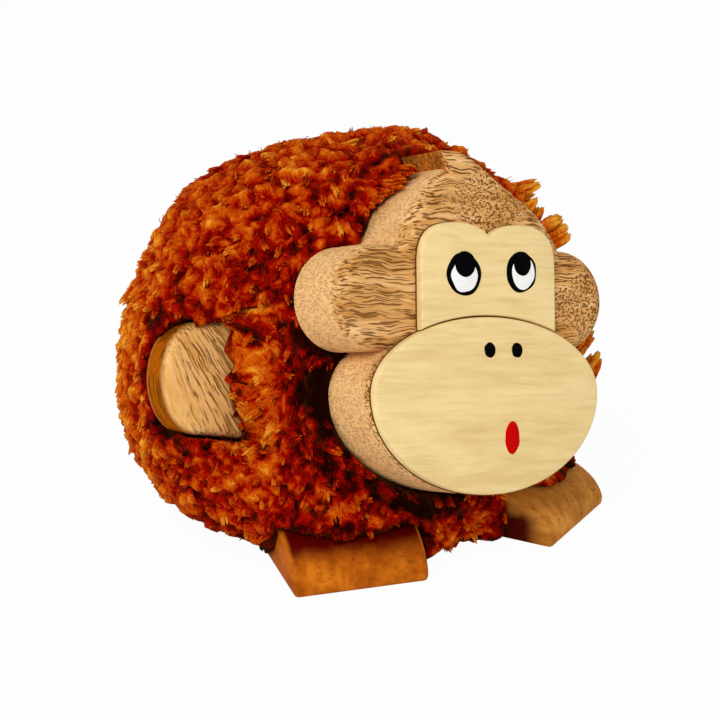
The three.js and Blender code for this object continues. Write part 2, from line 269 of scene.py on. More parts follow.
    def place(self, where: Optional[Matrix] = None) -> tuple:
        """Adds coordinates in millimetres, in a frame of their own.

        Args:
            where: The frame's place, or nothing for the part's own frame.

        Returns:
            The node and its output, to feed on.
        """
        source = self.add("ShaderNodeTexCoord")
        mapping = self.add("ShaderNodeMapping", vector_type="TEXTURE")
        self.join(source, "Object", mapping, "Vector")
        matrix = where if where is not None else Matrix.Identity(4)
        turn = matrix.to_euler("XYZ")
        self.put(mapping, {"Location": matrix.to_translation(), "Rotation": turn, "Scale": (MM, MM, MM)})
        return (mapping, 0)


@dataclass(frozen=True)
class WoodFinish:
    """A wood with long grain along its frame's x axis, open pores and soft bands, with optional painted shade
    and painted light.
    """

    name: str
    light: Rgb
    middle: Rgb
    dark: Rgb
    pore: Rgb
    pore_length: float = 7.0
    pore_width: float = 0.8
    pore_low: float = 0.5
    pore_high: float = 0.6
    pore_show: float = 0.8
    pore_patch: float = 0.5
    side_show: float = 1.0
    side_painted_light: float = 0.0
    side_edge: tuple[float, float] = (1.0, 3.5)
    worms: tuple[tuple[float, float, float, float], ...] = ()
    worm_slant: float = 1.5
    fan: float = 0.0
    bare: Optional[tuple[float, float]] = None
    painted_shadow: Optional[tuple[float, float]] = None
    shadow_level: tuple[float, float] = (5.6, 9.8)
    shadow_aside: tuple[float, float] = (16.3, 15.2)
    shadow_slope: float = 0.0
    shadow_ragged: tuple[float, float] = (0.3, 0.35)
    # Painted shade: the colour of shaded sawn faces, and of the painted shadow on the feet.
    shade_colour: Rgb = (128, 62, 8)
    shade_edge: Optional[tuple[float, float]] = None
    shade_pores: float = 0.55
    shade_darker: float = 0.7
    shade_lighter: float = 1.12
    waviness: float = 2.0
    ripple: float = 0.0
    fibre: float = 0.9
    roughness: float = 0.6
    gloss: float = 0.06
    coat: float = 0.0
    coat_rough: float = 0.25
    depth: float = 0.25

    def fanned(self, graph: Graph, grain: tuple) -> tuple:
        """Spreads the grain like a fan about a point behind the frame's origin.

        Args:
            graph: The material's graph.
            grain: Places along the grain.

        Returns:
            The spread places.
        """
        parts = graph.split(grain)
        ahead = graph.math("ADD", (parts, "X"), self.fan)
        angle = graph.math("ARCTAN2", (parts, "Z"), ahead)
        across = graph.math("MULTIPLY", angle, self.fan)
        joined = graph.add("ShaderNodeCombineXYZ")
        graph.feed(joined, "X", (parts, "X"))
        graph.feed(joined, "Y", (parts, "Y"))
        graph.feed(joined, "Z", across)
        return (joined, 0)

    def pores(self, graph: Graph, bare: tuple, grain: tuple, axes: bpy.types.Node) -> tuple:
        """Draws the open pores.

        Args:
            graph: The material's graph.
            bare: Places in the frame.
            grain: Places along the grain.
            axes: The frame's three axes.

        Returns:
            How far a place lies in a pore.
        """
        sizes = (1 / self.pore_length, 0.4 / self.pore_width, 1 / self.pore_width)
        streaks = graph.noise(graph.stretch(grain, sizes), 1.0, 1.5, 0.5)
        level = (streaks, "Fac")
        sizes = (0.55 / self.pore_width, 0.4 / self.pore_width, 0.8 / self.pore_width)
        for x, z, reach, dense in self.worms:
            curls = graph.noise(graph.stretch(grain, sizes), 1.0, 1.5, 0.5)
            crowded = graph.math("ADD", (curls, "Fac"), dense)
            aside = graph.math("ABSOLUTE", graph.math("SUBTRACT", (axes, "X"), x))
            above = graph.math("ABSOLUTE", graph.math("SUBTRACT", (axes, "Z"), z))
            away = graph.math("ADD", aside, graph.math("MULTIPLY", above, self.worm_slant))
            share = graph.remap(away, reach * 0.6, reach * 1.2, 1.0, 0.0)
            level = graph.blend(share, level, crowded)
        made = graph.remap(level, self.pore_low, self.pore_high)
        patches = graph.noise(bare, 0.09, 2.0)
        dense = graph.remap((patches, "Fac"), 0.35, 0.6, 1.0 - self.pore_patch, 1.0)
        made = graph.math("MULTIPLY", made, dense)
        if self.bare is not None:
            ragged = graph.noise(bare, 0.35, 2.0)
            edge = graph.math("ADD", (axes, "Z"), graph.remap((ragged, "Fac"), 0.3, 0.7, -2.5, 2.5))
            made = graph.math("MULTIPLY", made, graph.remap(edge, self.bare[0], self.bare[1]))
        return made

    def shadowed(self, graph: Graph, bare: tuple, axes: bpy.types.Node, wood: tuple) -> tuple:
        """Paints the shadow of the overhanging yarn on the wood, dark red for its shade and red reflection.

        Args:
            graph: The material's graph.
            bare: Places in the frame.
            axes: The frame's three axes.
            wood: Colour of the wood without the painted shadow.

        Returns:
            The colour with the painted shadow.
        """
        cloud = (graph.noise(bare, 0.3, 2.0), "Fac")
        along, up = self.shadow_ragged
        reach = graph.math("ADD", (axes, "X"), graph.remap(cloud, 0.3, 0.7, -along, along))
        share = graph.remap(reach, *self.painted_shadow)
        level = graph.math("ADD", (axes, "Z"), graph.remap(cloud, 0.3, 0.7, -up, up))
        slope = graph.math("MULTIPLY", (axes, "Y"), -self.shadow_slope)
        level = graph.math("ADD", level, graph.math("MAXIMUM", slope, 0.0))
        share = graph.math("MULTIPLY", share, graph.remap(level, *self.shadow_level))
        aside = graph.math("ABSOLUTE", (axes, "Y"))
        share = graph.math("MULTIPLY", share, graph.remap(aside, *self.shadow_aside))
        return graph.blend(share, wood, linear(self.shade_colour))

    def oiled(self, graph: Graph, tone: tuple) -> tuple:
        """Colours the painted shade on sawn ends and rims.

        Args:
            graph: The material's graph.
            tone: How light the grain is.

        Returns:
            The colour of the shaded grain.
        """
        lighter_shade = tuple(min(255, round(level * self.shade_lighter)) for level in self.shade_colour)
        darker_shade = tuple(round(level * self.shade_darker) for level in self.shade_colour)
        return graph.ramp(tone, [(0.36, darker_shade), (0.6, lighter_shade)])

    def material(self, where: Matrix, label: str = "") -> bpy.types.Material:
        """Builds the wood's material.

        Args:
            where: Frame of the piece, whose x axis is the grain.
            label: Ending of the material's name.

        Returns:
            The material.
        """
        graph = Graph(self.name + label)
        bare = graph.place(where)
        axes = graph.split(bare)
        bend = graph.noise(bare, 0.055, 2.0)
        grain = graph.shift(bare, graph.stretch((bend, "Color"), (0.0, self.waviness, 2 * self.waviness)))
        if self.ripple:
            ripples = graph.noise(bare, 0.2, 1.0)
            grain = graph.shift(grain, graph.stretch((ripples, "Color"), (0.0, 0.0, self.ripple)))
        if self.fan:
            grain = self.fanned(graph, grain)
        fibres = graph.noise(graph.stretch(grain, (0.07, self.fibre, self.fibre)), 1.0, 6.0, 0.62)
        bands = graph.noise(graph.stretch(grain, (0.015, 0.13, 0.13)), 1.0, 2.0)
        tone = graph.math("ADD", (fibres, "Fac"), graph.remap((bands, "Fac"), 0.3, 0.7, -0.12, 0.12))
        wood = graph.ramp(tone, [(0.3, self.dark), (0.5, self.middle), (0.7, self.light)])
        side = graph.remap((axes, "Y"), *self.side_edge)
        # Painted light: the rounded sides turn paler towards the light colour.
        wood = graph.blend(graph.math("MULTIPLY", side, self.side_painted_light), wood, linear(self.light))
        # Painted shadow where the yarn hangs over the feet.
        if self.painted_shadow is not None:
            wood = self.shadowed(graph, bare, axes, wood)
        # Painted shade: marked faces take the darker shaded grain colour and show more pores.
        painted_shade = (graph.add("ShaderNodeAttribute", attribute_name="painted_shade"), "Fac")
        if self.shade_edge is not None:
            painted_shade = graph.math("MULTIPLY", painted_shade, graph.remap((axes, "Y"), *self.shade_edge))
        kept = graph.remap(side, 0.0, 1.0, self.pore_show, self.pore_show * self.side_show)
        kept = graph.math("MAXIMUM", kept, graph.math("MULTIPLY", painted_shade, self.shade_pores))
        shown = graph.math("MULTIPLY", self.pores(graph, bare, grain, axes), kept)
        wood = graph.blend(painted_shade, wood, self.oiled(graph, tone))
        colour = graph.blend(shown, wood, linear(self.pore))
        graph.feed(graph.shader, "Base Color", colour)
        rough = graph.remap(shown, 0.0, 1.0, self.roughness, min(1.0, self.roughness + 0.2))
        graph.feed(graph.shader, "Roughness", rough)
        graph.put(graph.shader, {
            "Specular IOR Level": self.gloss, "Coat Weight": self.coat, "Coat Roughness": self.coat_rough,
        })
        height = graph.math("SUBTRACT", graph.math("MULTIPLY", (fibres, "Fac"), 0.5), shown)
        graph.relief(height, self.depth)
        return graph.material


@dataclass(frozen=True)
class PaintFinish:
    """Hand-brushed enamel paint."""

    name: str
    colour: Rgb
    thin: Rgb
    roughness: float = 0.45
    gloss: float = 0.02

    def material(self, where: Matrix) -> bpy.types.Material:
        """Builds the paint's material.

        Args:
            where: Frame of the painted piece.

        Returns:
            The material.
        """
        graph = Graph(self.name)
        spot = graph.place(where)
        strokes = graph.noise(graph.stretch(spot, (0.5, 1.0, 1.6)), 1.2, 4.0, 0.6)
        share = graph.remap((strokes, "Fac"), 0.35, 0.75)
        graph.feed(graph.shader, "Base Color", graph.blend(share, linear(self.colour), linear(self.thin)))
        rough = graph.remap((strokes, "Fac"), 0.3, 0.7, self.roughness, self.roughness + 0.15)
        graph.feed(graph.shader, "Roughness", rough)
        graph.shader.inputs["Specular IOR Level"].default_value = self.gloss
        graph.relief((strokes, "Fac"), 0.05, 0.6)
        return graph.material


@dataclass(frozen=True)
class YarnFinish:
    """Acrylic yarn, orange at the cut ends, with painted shade that runs through deep red to near black low
    in the pile and in gaps.
    """

    name: str
    # Painted shade: gap and root are the near black and dark red of the pile's depths and gaps.
    gap: Rgb = (16, 0, 0)
    root: Rgb = (76, 0, 0)
    lower: Rgb = (158, 6, 0)
    upper: Rgb = (206, 88, 6)
    tip: Rgb = (238, 164, 46)
    stops: tuple[float, ...] = (0.02, 0.2, 0.45, 0.72, 1.0)
    roughness: float = 0.95
    gloss: float = 0.02
    sheen: float = 0.12
    sheen_rough: float = 0.5
    sheen_tint: Rgb = (255, 140, 40)

    def material(self) -> bpy.types.Material:
        """Builds the yarn's material from the pile's own attributes.

        Returns:
            The material.
        """
        graph = Graph(self.name)
        depth = graph.add("ShaderNodeAttribute", attribute_name="pile_depth")
        tone = graph.add("ShaderNodeAttribute", attribute_name="pile_tone_light_and_shade")
        spot = graph.place()
        wisps = graph.noise(spot, 0.45, 5.0, 0.62)
        wisps.inputs["Distortion"].default_value = 1.7
        streak = graph.remap((wisps, "Fac"), 0.28, 0.72, -0.15, 0.15)
        # The level runs from painted shade deep in the pile to the orange of the cut ends.
        level = graph.math("ADD", (depth, "Fac"), (tone, "Fac"))
        level = graph.math("ADD", level, streak, clamp=True)
        colours = (self.gap, self.root, self.lower, self.upper, self.tip)
        graph.feed(graph.shader, "Base Color", graph.ramp(level, list(zip(self.stops, colours))))
        graph.put(graph.shader, {
            "Roughness": self.roughness, "Specular IOR Level": self.gloss, "Sheen Weight": self.sheen,
            "Sheen Roughness": self.sheen_rough, "Sheen Tint": linear(self.sheen_tint),
        })
        graph.relief((wisps, "Fac"), 1.0, 0.55)
        return graph.material


@dataclass(frozen=True)
class CordFinish:
    """Twisted cotton cord, laid round the part's y axis."""

    name: str
    light: Rgb = (226, 211, 172)
    dark: Rgb = (172, 148, 104)

    def material(self, where: Matrix) -> bpy.types.Material:
        """Builds the cord's material.

        Args:
            where: Frame in the middle of the ring that the cord makes.

        Returns:
            The material.
        """
        graph = Graph(self.name)
        spot = graph.place(where)
        strands = graph.add("ShaderNodeTexWave", wave_type="BANDS", bands_direction="DIAGONAL")
        graph.feed(strands, "Vector", spot)
        graph.put(strands, {"Scale": 0.3, "Distortion": 1.5})
        colour = graph.ramp((strands, "Fac"), [(0.1, self.dark), (0.7, self.light)])
        graph.feed(graph.shader, "Base Color", colour)
        graph.shader.inputs["Roughness"].default_value = 0.9
        graph.relief((strands, "Fac"), 0.4)
        return graph.material


# Painted light on the rounded sides, and painted shade on the tuft's sawn side.
HEAD_WOOD = WoodFinish(
    "head_wood", (246, 196, 134), (224, 166, 98), (194, 132, 66), (108, 54, 12),
    pore_length=5.6, pore_width=0.4, pore_low=0.535, pore_high=0.6, pore_show=0.86, pore_patch=0.2,
    side_show=0.4, side_painted_light=0.66, worms=((2.0, 45.0, 15.0, 0.012), (31.0, 21.0, 15.0, 0.035)),
    waviness=1.4, ripple=1.9, shade_colour=(186, 98, 8), shade_edge=(0.4, 2.6), roughness=0.65, gloss=0.02,
    depth=0.35,
)
# Painted shade on the sawn rim of each arm.
ARM_WOOD = WoodFinish(
    "arm_wood", (252, 206, 138), (242, 186, 112), (220, 156, 78), (108, 52, 4),
    pore_length=5.2, pore_width=0.34, pore_low=0.53, pore_high=0.59, pore_show=0.8, pore_patch=0.2,
    side_show=0.5, fan=48.0, bare=(2.0, 9.0), waviness=0.8, ripple=1.3, shade_colour=(156, 80, 8), gloss=0.0,
    depth=0.35,
)
# Painted shadow on the top under the yarn: dark red for the yarn's shade and red reflection.
FOOT_WOOD = WoodFinish(
    "foot_wood", (210, 116, 22), (186, 95, 12), (160, 75, 8), (84, 34, 4),
    pore_length=1.6, pore_width=0.6, pore_low=0.63, pore_high=0.69, pore_show=0.34, pore_patch=0.9,
    waviness=1.2, fibre=0.35, shade_colour=(84, 1, 0), painted_shadow=(-0.6, 7.0), shadow_slope=0.2, roughness=0.5,
    gloss=0.02, coat=0.03, depth=0.08,
)
# The far foot gets its painted shadow on its inner side, not on top.
FAR_FOOT_WOOD = replace(
    FOOT_WOOD, name="far_foot_wood", light=(218, 148, 64), middle=(196, 128, 50), dark=(170, 106, 36),
    shade_colour=(76, 10, 4), painted_shadow=(2.0, 8.0), shadow_level=(9.4, 5.4), shadow_aside=(15.3, 16.2), shadow_slope=0.0,
    coat=0.0,
)
PALE_WOOD = WoodFinish(
    "pale_wood", (247, 220, 160), (241, 212, 149), (232, 200, 136), (208, 172, 108),
    pore_length=14.0, pore_width=0.9, pore_low=0.5, pore_high=0.68, pore_show=0.26, pore_patch=0.9,
    waviness=1.0, fibre=0.5, roughness=0.5, gloss=0.08, depth=0.06,
)
INNER_WOOD = WoodFinish(
    "inner_wood", (226, 190, 136), (212, 172, 116), (190, 146, 90), (140, 98, 52),
    pore_length=6.0, pore_width=0.8, pore_show=0.4, roughness=0.7, depth=0.15,
)
# Dark glue in the joints, whose rim beyond the plates also stands for the shadow line at their edges.
GLUE_AND_SHADOW = PaintFinish("glue_and_shadow_line", (96, 62, 30), (124, 84, 46), 0.6)
BLACK_PAINT = PaintFinish("black_paint", (3, 3, 3), (9, 8, 8), gloss=0.01)
WHITE_PAINT = PaintFinish("white_paint", (252, 251, 249), (244, 242, 238))
RED_PAINT = PaintFinish("red_paint", (208, 3, 3), (190, 2, 2))
YARN = YarnFinish("yarn")
CORD = CordFinish("tie_cord")


def stand(origin: Sequence[float], lean: float = 0.0, cock: float = 0.0, splay: float = 0.0) -> Matrix:
    """Makes the frame of a group of pieces.

    Args:
        origin: Its place in millimetres.
        lean: Turn about x in degrees.
        cock: Turn about y in degrees, taken before the lean.
        splay: Turn about z in degrees.

    Returns:
        The frame, in metres.
    """
    turn = Matrix.Rotation(math.radians(lean), 4, "X")
    turn = turn @ Matrix.Rotation(math.radians(cock), 4, "Y")
    turn = turn @ Matrix.Rotation(math.radians(splay), 4, "Z")
    return Matrix.Translation(Vector(origin) * MM) @ turn


def meshed(name: str, shape: bmesh.types.BMesh) -> bpy.types.Mesh:
    """Turns a shape into a mesh.

    Args:
        name: The mesh's name.
        shape: The shape, which is freed.

    Returns:
        The mesh.
    """
    mesh = bpy.data.meshes.new(name)
    shape.to_mesh(mesh)
    shape.free()
    return mesh


def linked(name: str, data: bpy.types.ID) -> bpy.types.Object:
    """Puts a mesh, a lamp or the camera into the scene.

    Args:
        name: The object's name.
        data: What it holds.

    Returns:
        The object.
    """
    made = bpy.data.objects.new(name, data)
    bpy.context.scene.collection.objects.link(made)
    return made


def finished(name: str, shape: bmesh.types.BMesh, where: Matrix,
             material: bpy.types.Material) -> bpy.types.Object:
    """Turns a shape in millimetres into a piece in its place.

    Args:
        name: The piece's name.
        shape: Its mesh, in millimetres in its own frame, which is freed.
        where: That frame.
        material: Its finish.

    Returns:
        The object, at the origin, with its place in its mesh.
    """
    bmesh.ops.remove_doubles(shape, verts=shape.verts, dist=1e-4)
    bmesh.ops.recalc_face_normals(shape, faces=shape.faces)
    bmesh.ops.transform(shape, matrix=where @ Matrix.Scale(MM, 4), verts=shape.verts)
    mesh = meshed(name, shape)
    mesh.materials.append(material)
    mesh.shade_smooth()
    mesh.set_sharp_from_angle(angle=SMOOTH_LIMIT)
    return linked(name, mesh)


def settle(piece: bpy.types.Object, slot: str, *nodes: str) -> bpy.types.Object:
    """Fixes a piece to the figure and says what it stands for.

    Args:
        piece: The object.
        slot: Name of a material slot; not used.
        nodes: CAD nodes that it replaces.

    Returns:
        The same object.
    """
    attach(piece, BODY)
    if nodes:
        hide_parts(*nodes)
    LOG.info("%s: %d faces, stands for %s", piece.name, len(piece.data.polygons), ", ".join(nodes) or "trim")
    return piece


def painted_shade(piece: bpy.types.Object, where: Matrix, rule: Callable[[Vector, Vector], float]) -> None:
    """Marks the faces that get painted shade.

    Args:
        piece: A wooden piece.
        where: Its frame.
        rule: Gives the painted shade from 0 to 1 of a face's middle and normal, in millimetres in that frame.
    """
    back = where.inverted()
    turn = back.to_3x3()
    values = [rule(back @ face.center / MM, turn @ face.normal) for face in piece.data.polygons]
    piece.data.attributes.new("painted_shade", "FLOAT", "FACE").data.foreach_set("value", values)


def board(outline: bmesh.types.BMesh, thickness: float, rounding: float, steps: int,
          back: float = 0.0) -> bmesh.types.BMesh:
    """Saws a board: an outline in the XY plane becomes an upright solid, front at y = 0.

    Args:
        outline: A mesh of one flat face.
        thickness: The board's thickness.
        rounding: Radius that the front edge is rounded over by.
        steps: Segments of that rounding.
        back: Radius of the back edge, or nothing for a sawn edge.

    Returns:
        The same mesh, now solid.
    """
    grown = bmesh.ops.extrude_face_region(outline, geom=outline.faces[:])
    behind = [item for item in grown["geom"] if isinstance(item, bmesh.types.BMVert)]
    bmesh.ops.translate(outline, verts=behind, vec=(0.0, 0.0, -thickness))
    bmesh.ops.recalc_face_normals(outline, faces=outline.faces)
    for level, radius in ((0.0, rounding), (-thickness, back)):
        if radius <= 0:
            continue
        rim = [edge for edge in outline.edges if all(abs(v.co.z - level) < 1e-5 for v in edge.verts)]
        bmesh.ops.bevel(
            outline, geom=rim, offset=radius, offset_type="OFFSET", segments=steps, profile=0.5,
            affect="EDGES", material=-1, clamp_overlap=False,
        )
    bmesh.ops.rotate(outline, verts=outline.verts, matrix=Matrix.Rotation(math.pi / 2, 3, "X"))
    return outline


def disc(steps: int, reach: Sequence[float]) -> bmesh.types.BMesh:
    """Makes a flat oval face.

    Args:
        steps: Its number of sides.
        reach: Its reach to the right, left, top and bottom of its middle.

    Returns:
        A mesh of one face in the XY plane.
    """
    shape = bmesh.new()
    bmesh.ops.create_circle(shape, cap_ends=True, segments=steps, radius=1.0)
    right, left, top, bottom = reach
    for vert in shape.verts:
        vert.co.x *= right if vert.co.x > 0 else left
        vert.co.y *= top if vert.co.y > 0 else bottom
    return shape


def sheet_of(points: Iterable[Point2]) -> bmesh.types.BMesh:
    """Makes a flat face from the points round its edge."""
    shape = bmesh.new()
    shape.faces.new([shape.verts.new((x, y, 0.0)) for x, y in points])
    bmesh.ops.recalc_face_normals(shape, faces=shape.faces)
    if shape.faces[:][0].normal.z < 0:
        bmesh.ops.reverse_faces(shape, faces=shape.faces)
    return shape


def curve(start: Point2, pull: Point2, push: Point2, end: Point2, steps: int) -> list[Point2]:
    """Points on a curve between two ends, the first left out.

    Args:
        start: First end.
        pull: Handle of the first end.
        push: Handle of the second end.
        end: Second end.
        steps: Number of points.

    Returns:
        The points.
    """
    knots = [Vector((p[0], p[1], 0.0)) for p in (start, pull, push, end)]
    return [(p.x, p.y) for p in interpolate_bezier(*knots, steps + 1)[1:]]


def united(shapes: Sequence[bmesh.types.BMesh], label: str) -> bmesh.types.BMesh:
    """Joins overlapping solids into one.

    Args:
        shapes: The solids, which are freed.
        label: Name for the passing objects.

    Returns:
        One closed mesh.
    """
    objects = []
    for shape in shapes:
        bmesh.ops.recalc_face_normals(shape, faces=shape.faces)
        objects.append(linked(label, meshed(label, shape)))
    for other in objects[1:]:
        cutter = objects[0].modifiers.new("join", "BOOLEAN")
        cutter.operation = "UNION"
        cutter.solver = "EXACT"
        cutter.object = other
    graph = bpy.context.evaluated_depsgraph_get()
    whole = bpy.data.meshes.new_from_object(objects[0].evaluated_get(graph))
    joined = bmesh.new()
    joined.from_mesh(whole)
    bpy.data.meshes.remove(whole)
    for passing in objects:
        mesh = passing.data
        bpy.data.objects.remove(passing)
        bpy.data.meshes.remove(mesh)
    return joined


@dataclass
class Head:
    """The sawn head with its two face plates and the painted face."""

    origin: tuple[float, float, float] = (0.0, -51.9, 42.8)
    lean: float = -16.4
    cock: float = 10.4
    thickness: float = 17.5
    skull_radius: float = 27.2
    skull_rise: float = 22.3
    skull_rounding: float = 4.5
    peak: float = 4.8
    peak_side: float = -9.0
    peak_reach: float = 18.0
    ear_right_reach: float = 41.5
    ear_left_reach: float = 37.5
    ear_height: float = 24.5
    ear_rise: float = 22.1
    muzzle_width: float = 64.8
    muzzle_upper: float = 17.8
    muzzle_lower: float = 23.6
    muzzle_rounding: float = 1.2
    tuft_left: float = -11.2
    tuft_top: float = 4.6
    tuft_sweep: float = 20.0
    tuft_height: float = 6.9
    tuft_overhang: float = 0.4
    tuft_rounding: float = 1.3
    plate: float = 2.0
    plate_easing: float = 0.6
    glue: float = 0.3
    seam: float = 0.4
    brow_width: float = 39.0
    brow_height: float = 39.6
    brow_lobes: float = 18.4
    brow_shoulder: float = 30.0
    brow_notch: float = 3.0
    brow_corner: float = 3.0
    outline_steps: int = 96
    squeeze: float = 0.22
    film: float = 0.1
    top_layer: int = 2
    top_calm: float = 0.3
    frame: Matrix = field(init=False)

    def __post_init__(self) -> None:
        """Works out the head's frame."""
        self.frame = stand(self.origin, self.lean, self.cock)

    def skull(self) -> bmesh.types.BMesh:
        """Makes the round skull, which rises to a soft peak under the tuft."""
        radius = self.skull_radius
        shape = disc(self.outline_steps, (radius, radius, radius, radius))
        for vert in shape.verts:
            if vert.co.y > 1e-4:
                vert.co.y += self.peaked(vert.co.x)
            vert.co.y += self.skull_rise
        return shape

    def peaked(self, aside: float) -> float:
        """Tells how far the peak lifts the skull's outline at a place across the head."""
        away = min(1.0, abs(aside - self.peak_side) / self.peak_reach)
        return self.peak * math.cos(away * math.pi / 2) ** 2

    def crown(self, aside: float) -> float:
        """Tells how high the skull's outline is beside its middle.

        Args:
            aside: Place across the head.

        Returns:
            The height in the head's frame.
        """
        return self.skull_rise + math.sqrt(self.skull_radius ** 2 - aside ** 2) + self.peaked(aside)

    def ears(self) -> bmesh.types.BMesh:
        """Makes the board that holds both ears."""
        radius = self.ear_height / 2
        shape = disc(self.outline_steps, (radius, radius, radius, radius))
        for vert in shape.verts:
            reach = self.ear_left_reach if vert.co.x > 0 else -self.ear_right_reach
            vert.co.x += reach - math.copysign(radius, reach)
            vert.co.y += self.ear_rise
        return shape

    def tuft(self) -> bmesh.types.BMesh:
        """Makes the outline of the tuft on the crown."""
        crown = self.skull_rise + self.skull_radius
        rooted = self.skull_rise + self.skull_radius / 2
        left = self.tuft_left
        top = crown + self.tuft_height
        right = left + self.tuft_sweep
        flat_end = left + self.tuft_top
        foot = (right, crown - self.tuft_height / 4)
        steep = (right - self.tuft_sweep / 4, crown)
        gentle = (flat_end + 0.35 * self.tuft_sweep, top - 0.3 * self.tuft_height)
        buried = (right + self.skull_rounding, crown - self.tuft_height * 1.3)
        points = [(left + self.tuft_overhang * (top - rooted), rooted), (buried[0], rooted), buried, foot]
        points += curve(foot, steep, gentle, (flat_end, top), 14)
        points.append((left, top))
        return sheet_of(points)

    def brow_outline(self) -> bmesh.types.BMesh:
        """Makes the outline of the plate with the eyes."""
        half = self.brow_width / 2
        lobe = self.brow_lobes / 2
        height = self.brow_height
        brim = height - self.brow_corner
        dip = height - self.brow_notch / 3
        near = self.brow_notch / 2
        notch = (0.0, height - self.brow_notch)
        shoulder = self.brow_shoulder
        points = []
        for step in range(25):
            x = -half + self.brow_width * step / 24
            arc = math.sqrt(1 - (x / (self.muzzle_width / 2)) ** 2)
            points.append((x, self.muzzle_upper * arc + self.seam))
        points.append((half, shoulder))
        corner = half - self.brow_corner
        points += curve((half, shoulder), (half, brim), (corner, height), (lobe, height), 14)
        points += curve((lobe, height), (lobe / 2, height), (near, dip), notch, 12)
        points += curve(notch, (-near, dip), (-lobe / 2, height), (-lobe, height), 12)
        points += curve((-lobe, height), (-corner, height), (-half, brim), (-half, shoulder), 14)
        return sheet_of(points)

    def muzzle_outline(self, inset: float = 0.0) -> bmesh.types.BMesh:
        """Makes the outline of the muzzle, drawn in by an inset."""
        half = self.muzzle_width / 2 - inset
        return disc(self.outline_steps, (half, half, self.muzzle_upper - inset, self.muzzle_lower - inset))

    def block(self) -> bpy.types.Object:
        """Saws the head block out of its boards."""
        boards = [
            board(self.skull(), self.thickness, self.skull_rounding, 7),
            board(self.ears(), self.thickness - 0.02, self.skull_rounding, 7),
            board(self.muzzle_outline(), self.thickness - 0.04, self.muzzle_rounding, 4),
            board(self.tuft(), self.thickness - 0.06, self.tuft_rounding, 3),
        ]
        shape = united(boards, "head_boards")
        piece = finished("head_block_sawn", shape, self.frame, HEAD_WOOD.material(self.frame))
        crown = self.skull_rise + self.skull_radius

        def tuft_side(middle: Vector, normal: Vector) -> float:
            """Paints shade on the sawn side of the tuft."""
            return 0.94 if middle.z > crown and normal.x < -0.8 and normal.z < -0.2 else 0.0

        painted_shade(piece, self.frame, tuft_side)
        return piece

    def plates(self) -> list[bpy.types.Object]:
        """Makes the brow plate and the muzzle plate."""
        pale = PALE_WOOD.material(self.frame)
        front = Vector((0.0, -(self.glue + self.plate), 0.0))
        outlines = {"brow_plate_pale": self.brow_outline(), "muzzle_plate_pale": self.muzzle_outline()}
        made = []
        for name, outline in outlines.items():
            shape = board(outline, self.plate, self.plate_easing, 3)
            bmesh.ops.translate(shape, verts=shape.verts, vec=front)
            made.append(finished(name, shape, self.frame, pale))
        return made

    def paint(self, name: str, middle: Point2, reach: Sequence[float], layer: int, tilt: float,
              finish: PaintFinish, seed: int) -> bpy.types.Object:
        """Brushes one patch of paint on a face plate.

        Args:
            name: The patch's name.
            middle: Its middle on the plate.
            reach: Its reach to the right, left, top and bottom.
            layer: How many films lie under it.
            tilt: Turn in the plate's plane, in degrees.
            finish: The paint.
            seed: Start of its brush wobble.

        Returns:
            The piece.
        """
        wobble = random.Random(seed)
        waves = [(wobble.uniform(0.004, 0.02), wobble.uniform(0.0, FULL_TURN)) for _ in range(5)]
        shape = disc(48, reach)
        for vert in shape.verts:
            angle = math.atan2(vert.co.y, vert.co.x)
            swell = sum(size * math.sin((i + 2) * angle + phase) for i, (size, phase) in enumerate(waves))
            vert.co *= 1 + swell * (self.top_calm if layer == self.top_layer else 1.0)
        bmesh.ops.rotate(shape, verts=shape.verts, matrix=Matrix.Rotation(math.radians(tilt), 3, "Z"))
        bmesh.ops.translate(shape, verts=shape.verts, vec=(middle[0], middle[1], 0.0))
        height = self.film * (layer + 1)
        patch = board(shape, height, min(height, self.film) * 0.8, 2)
        front = -(self.glue + self.plate) - height
        bmesh.ops.translate(patch, verts=patch.verts, vec=(0.0, front, 0.0))
        return finished(name, patch, self.frame, finish.material(self.frame))

    def face(self) -> list[bpy.types.Object]:
        """Paints the eyes, the nostrils and the mouth."""
        patches = [
            ("right_eye_ring", (-7.7, 27.7), (5.1, 4.75, 4.8, 5.1), 0, 0.0, BLACK_PAINT, 3),
            ("right_eye_white", (-7.5, 27.2), (3.75, 3.7, 3.6, 3.8), 1, 0.0, WHITE_PAINT, 4),
            ("right_eye_pupil", (-7.3, 29.9), (2.9, 2.9, 3.0, 2.95), 2, 0.0, BLACK_PAINT, 5),
            ("left_eye_ring", (9.1, 28.5), (4.6, 4.4, 4.7, 4.8), 0, -3.0, BLACK_PAINT, 6),
            ("left_eye_white", (9.7, 28.3), (3.3, 3.3, 4.0, 3.95), 1, -4.0, WHITE_PAINT, 7),
            ("left_eye_pupil", (9.4, 30.5), (2.5, 2.55, 2.8, 2.9), 2, 0.0, BLACK_PAINT, 8),
            ("right_nostril", (-0.3, 10.1), (1.6, 1.6, 1.8, 1.8), 0, 0.0, BLACK_PAINT, 9),
            ("left_nostril", (7.7, 10.1), (1.55, 1.6, 1.75, 1.8), 0, 0.0, BLACK_PAINT, 10),
            ("mouth", (6.0, -10.5), (2.1, 2.1, 3.85, 3.85), 0, -2.5, RED_PAINT, 11),
        ]
        return [self.paint(*patch) for patch in patches]

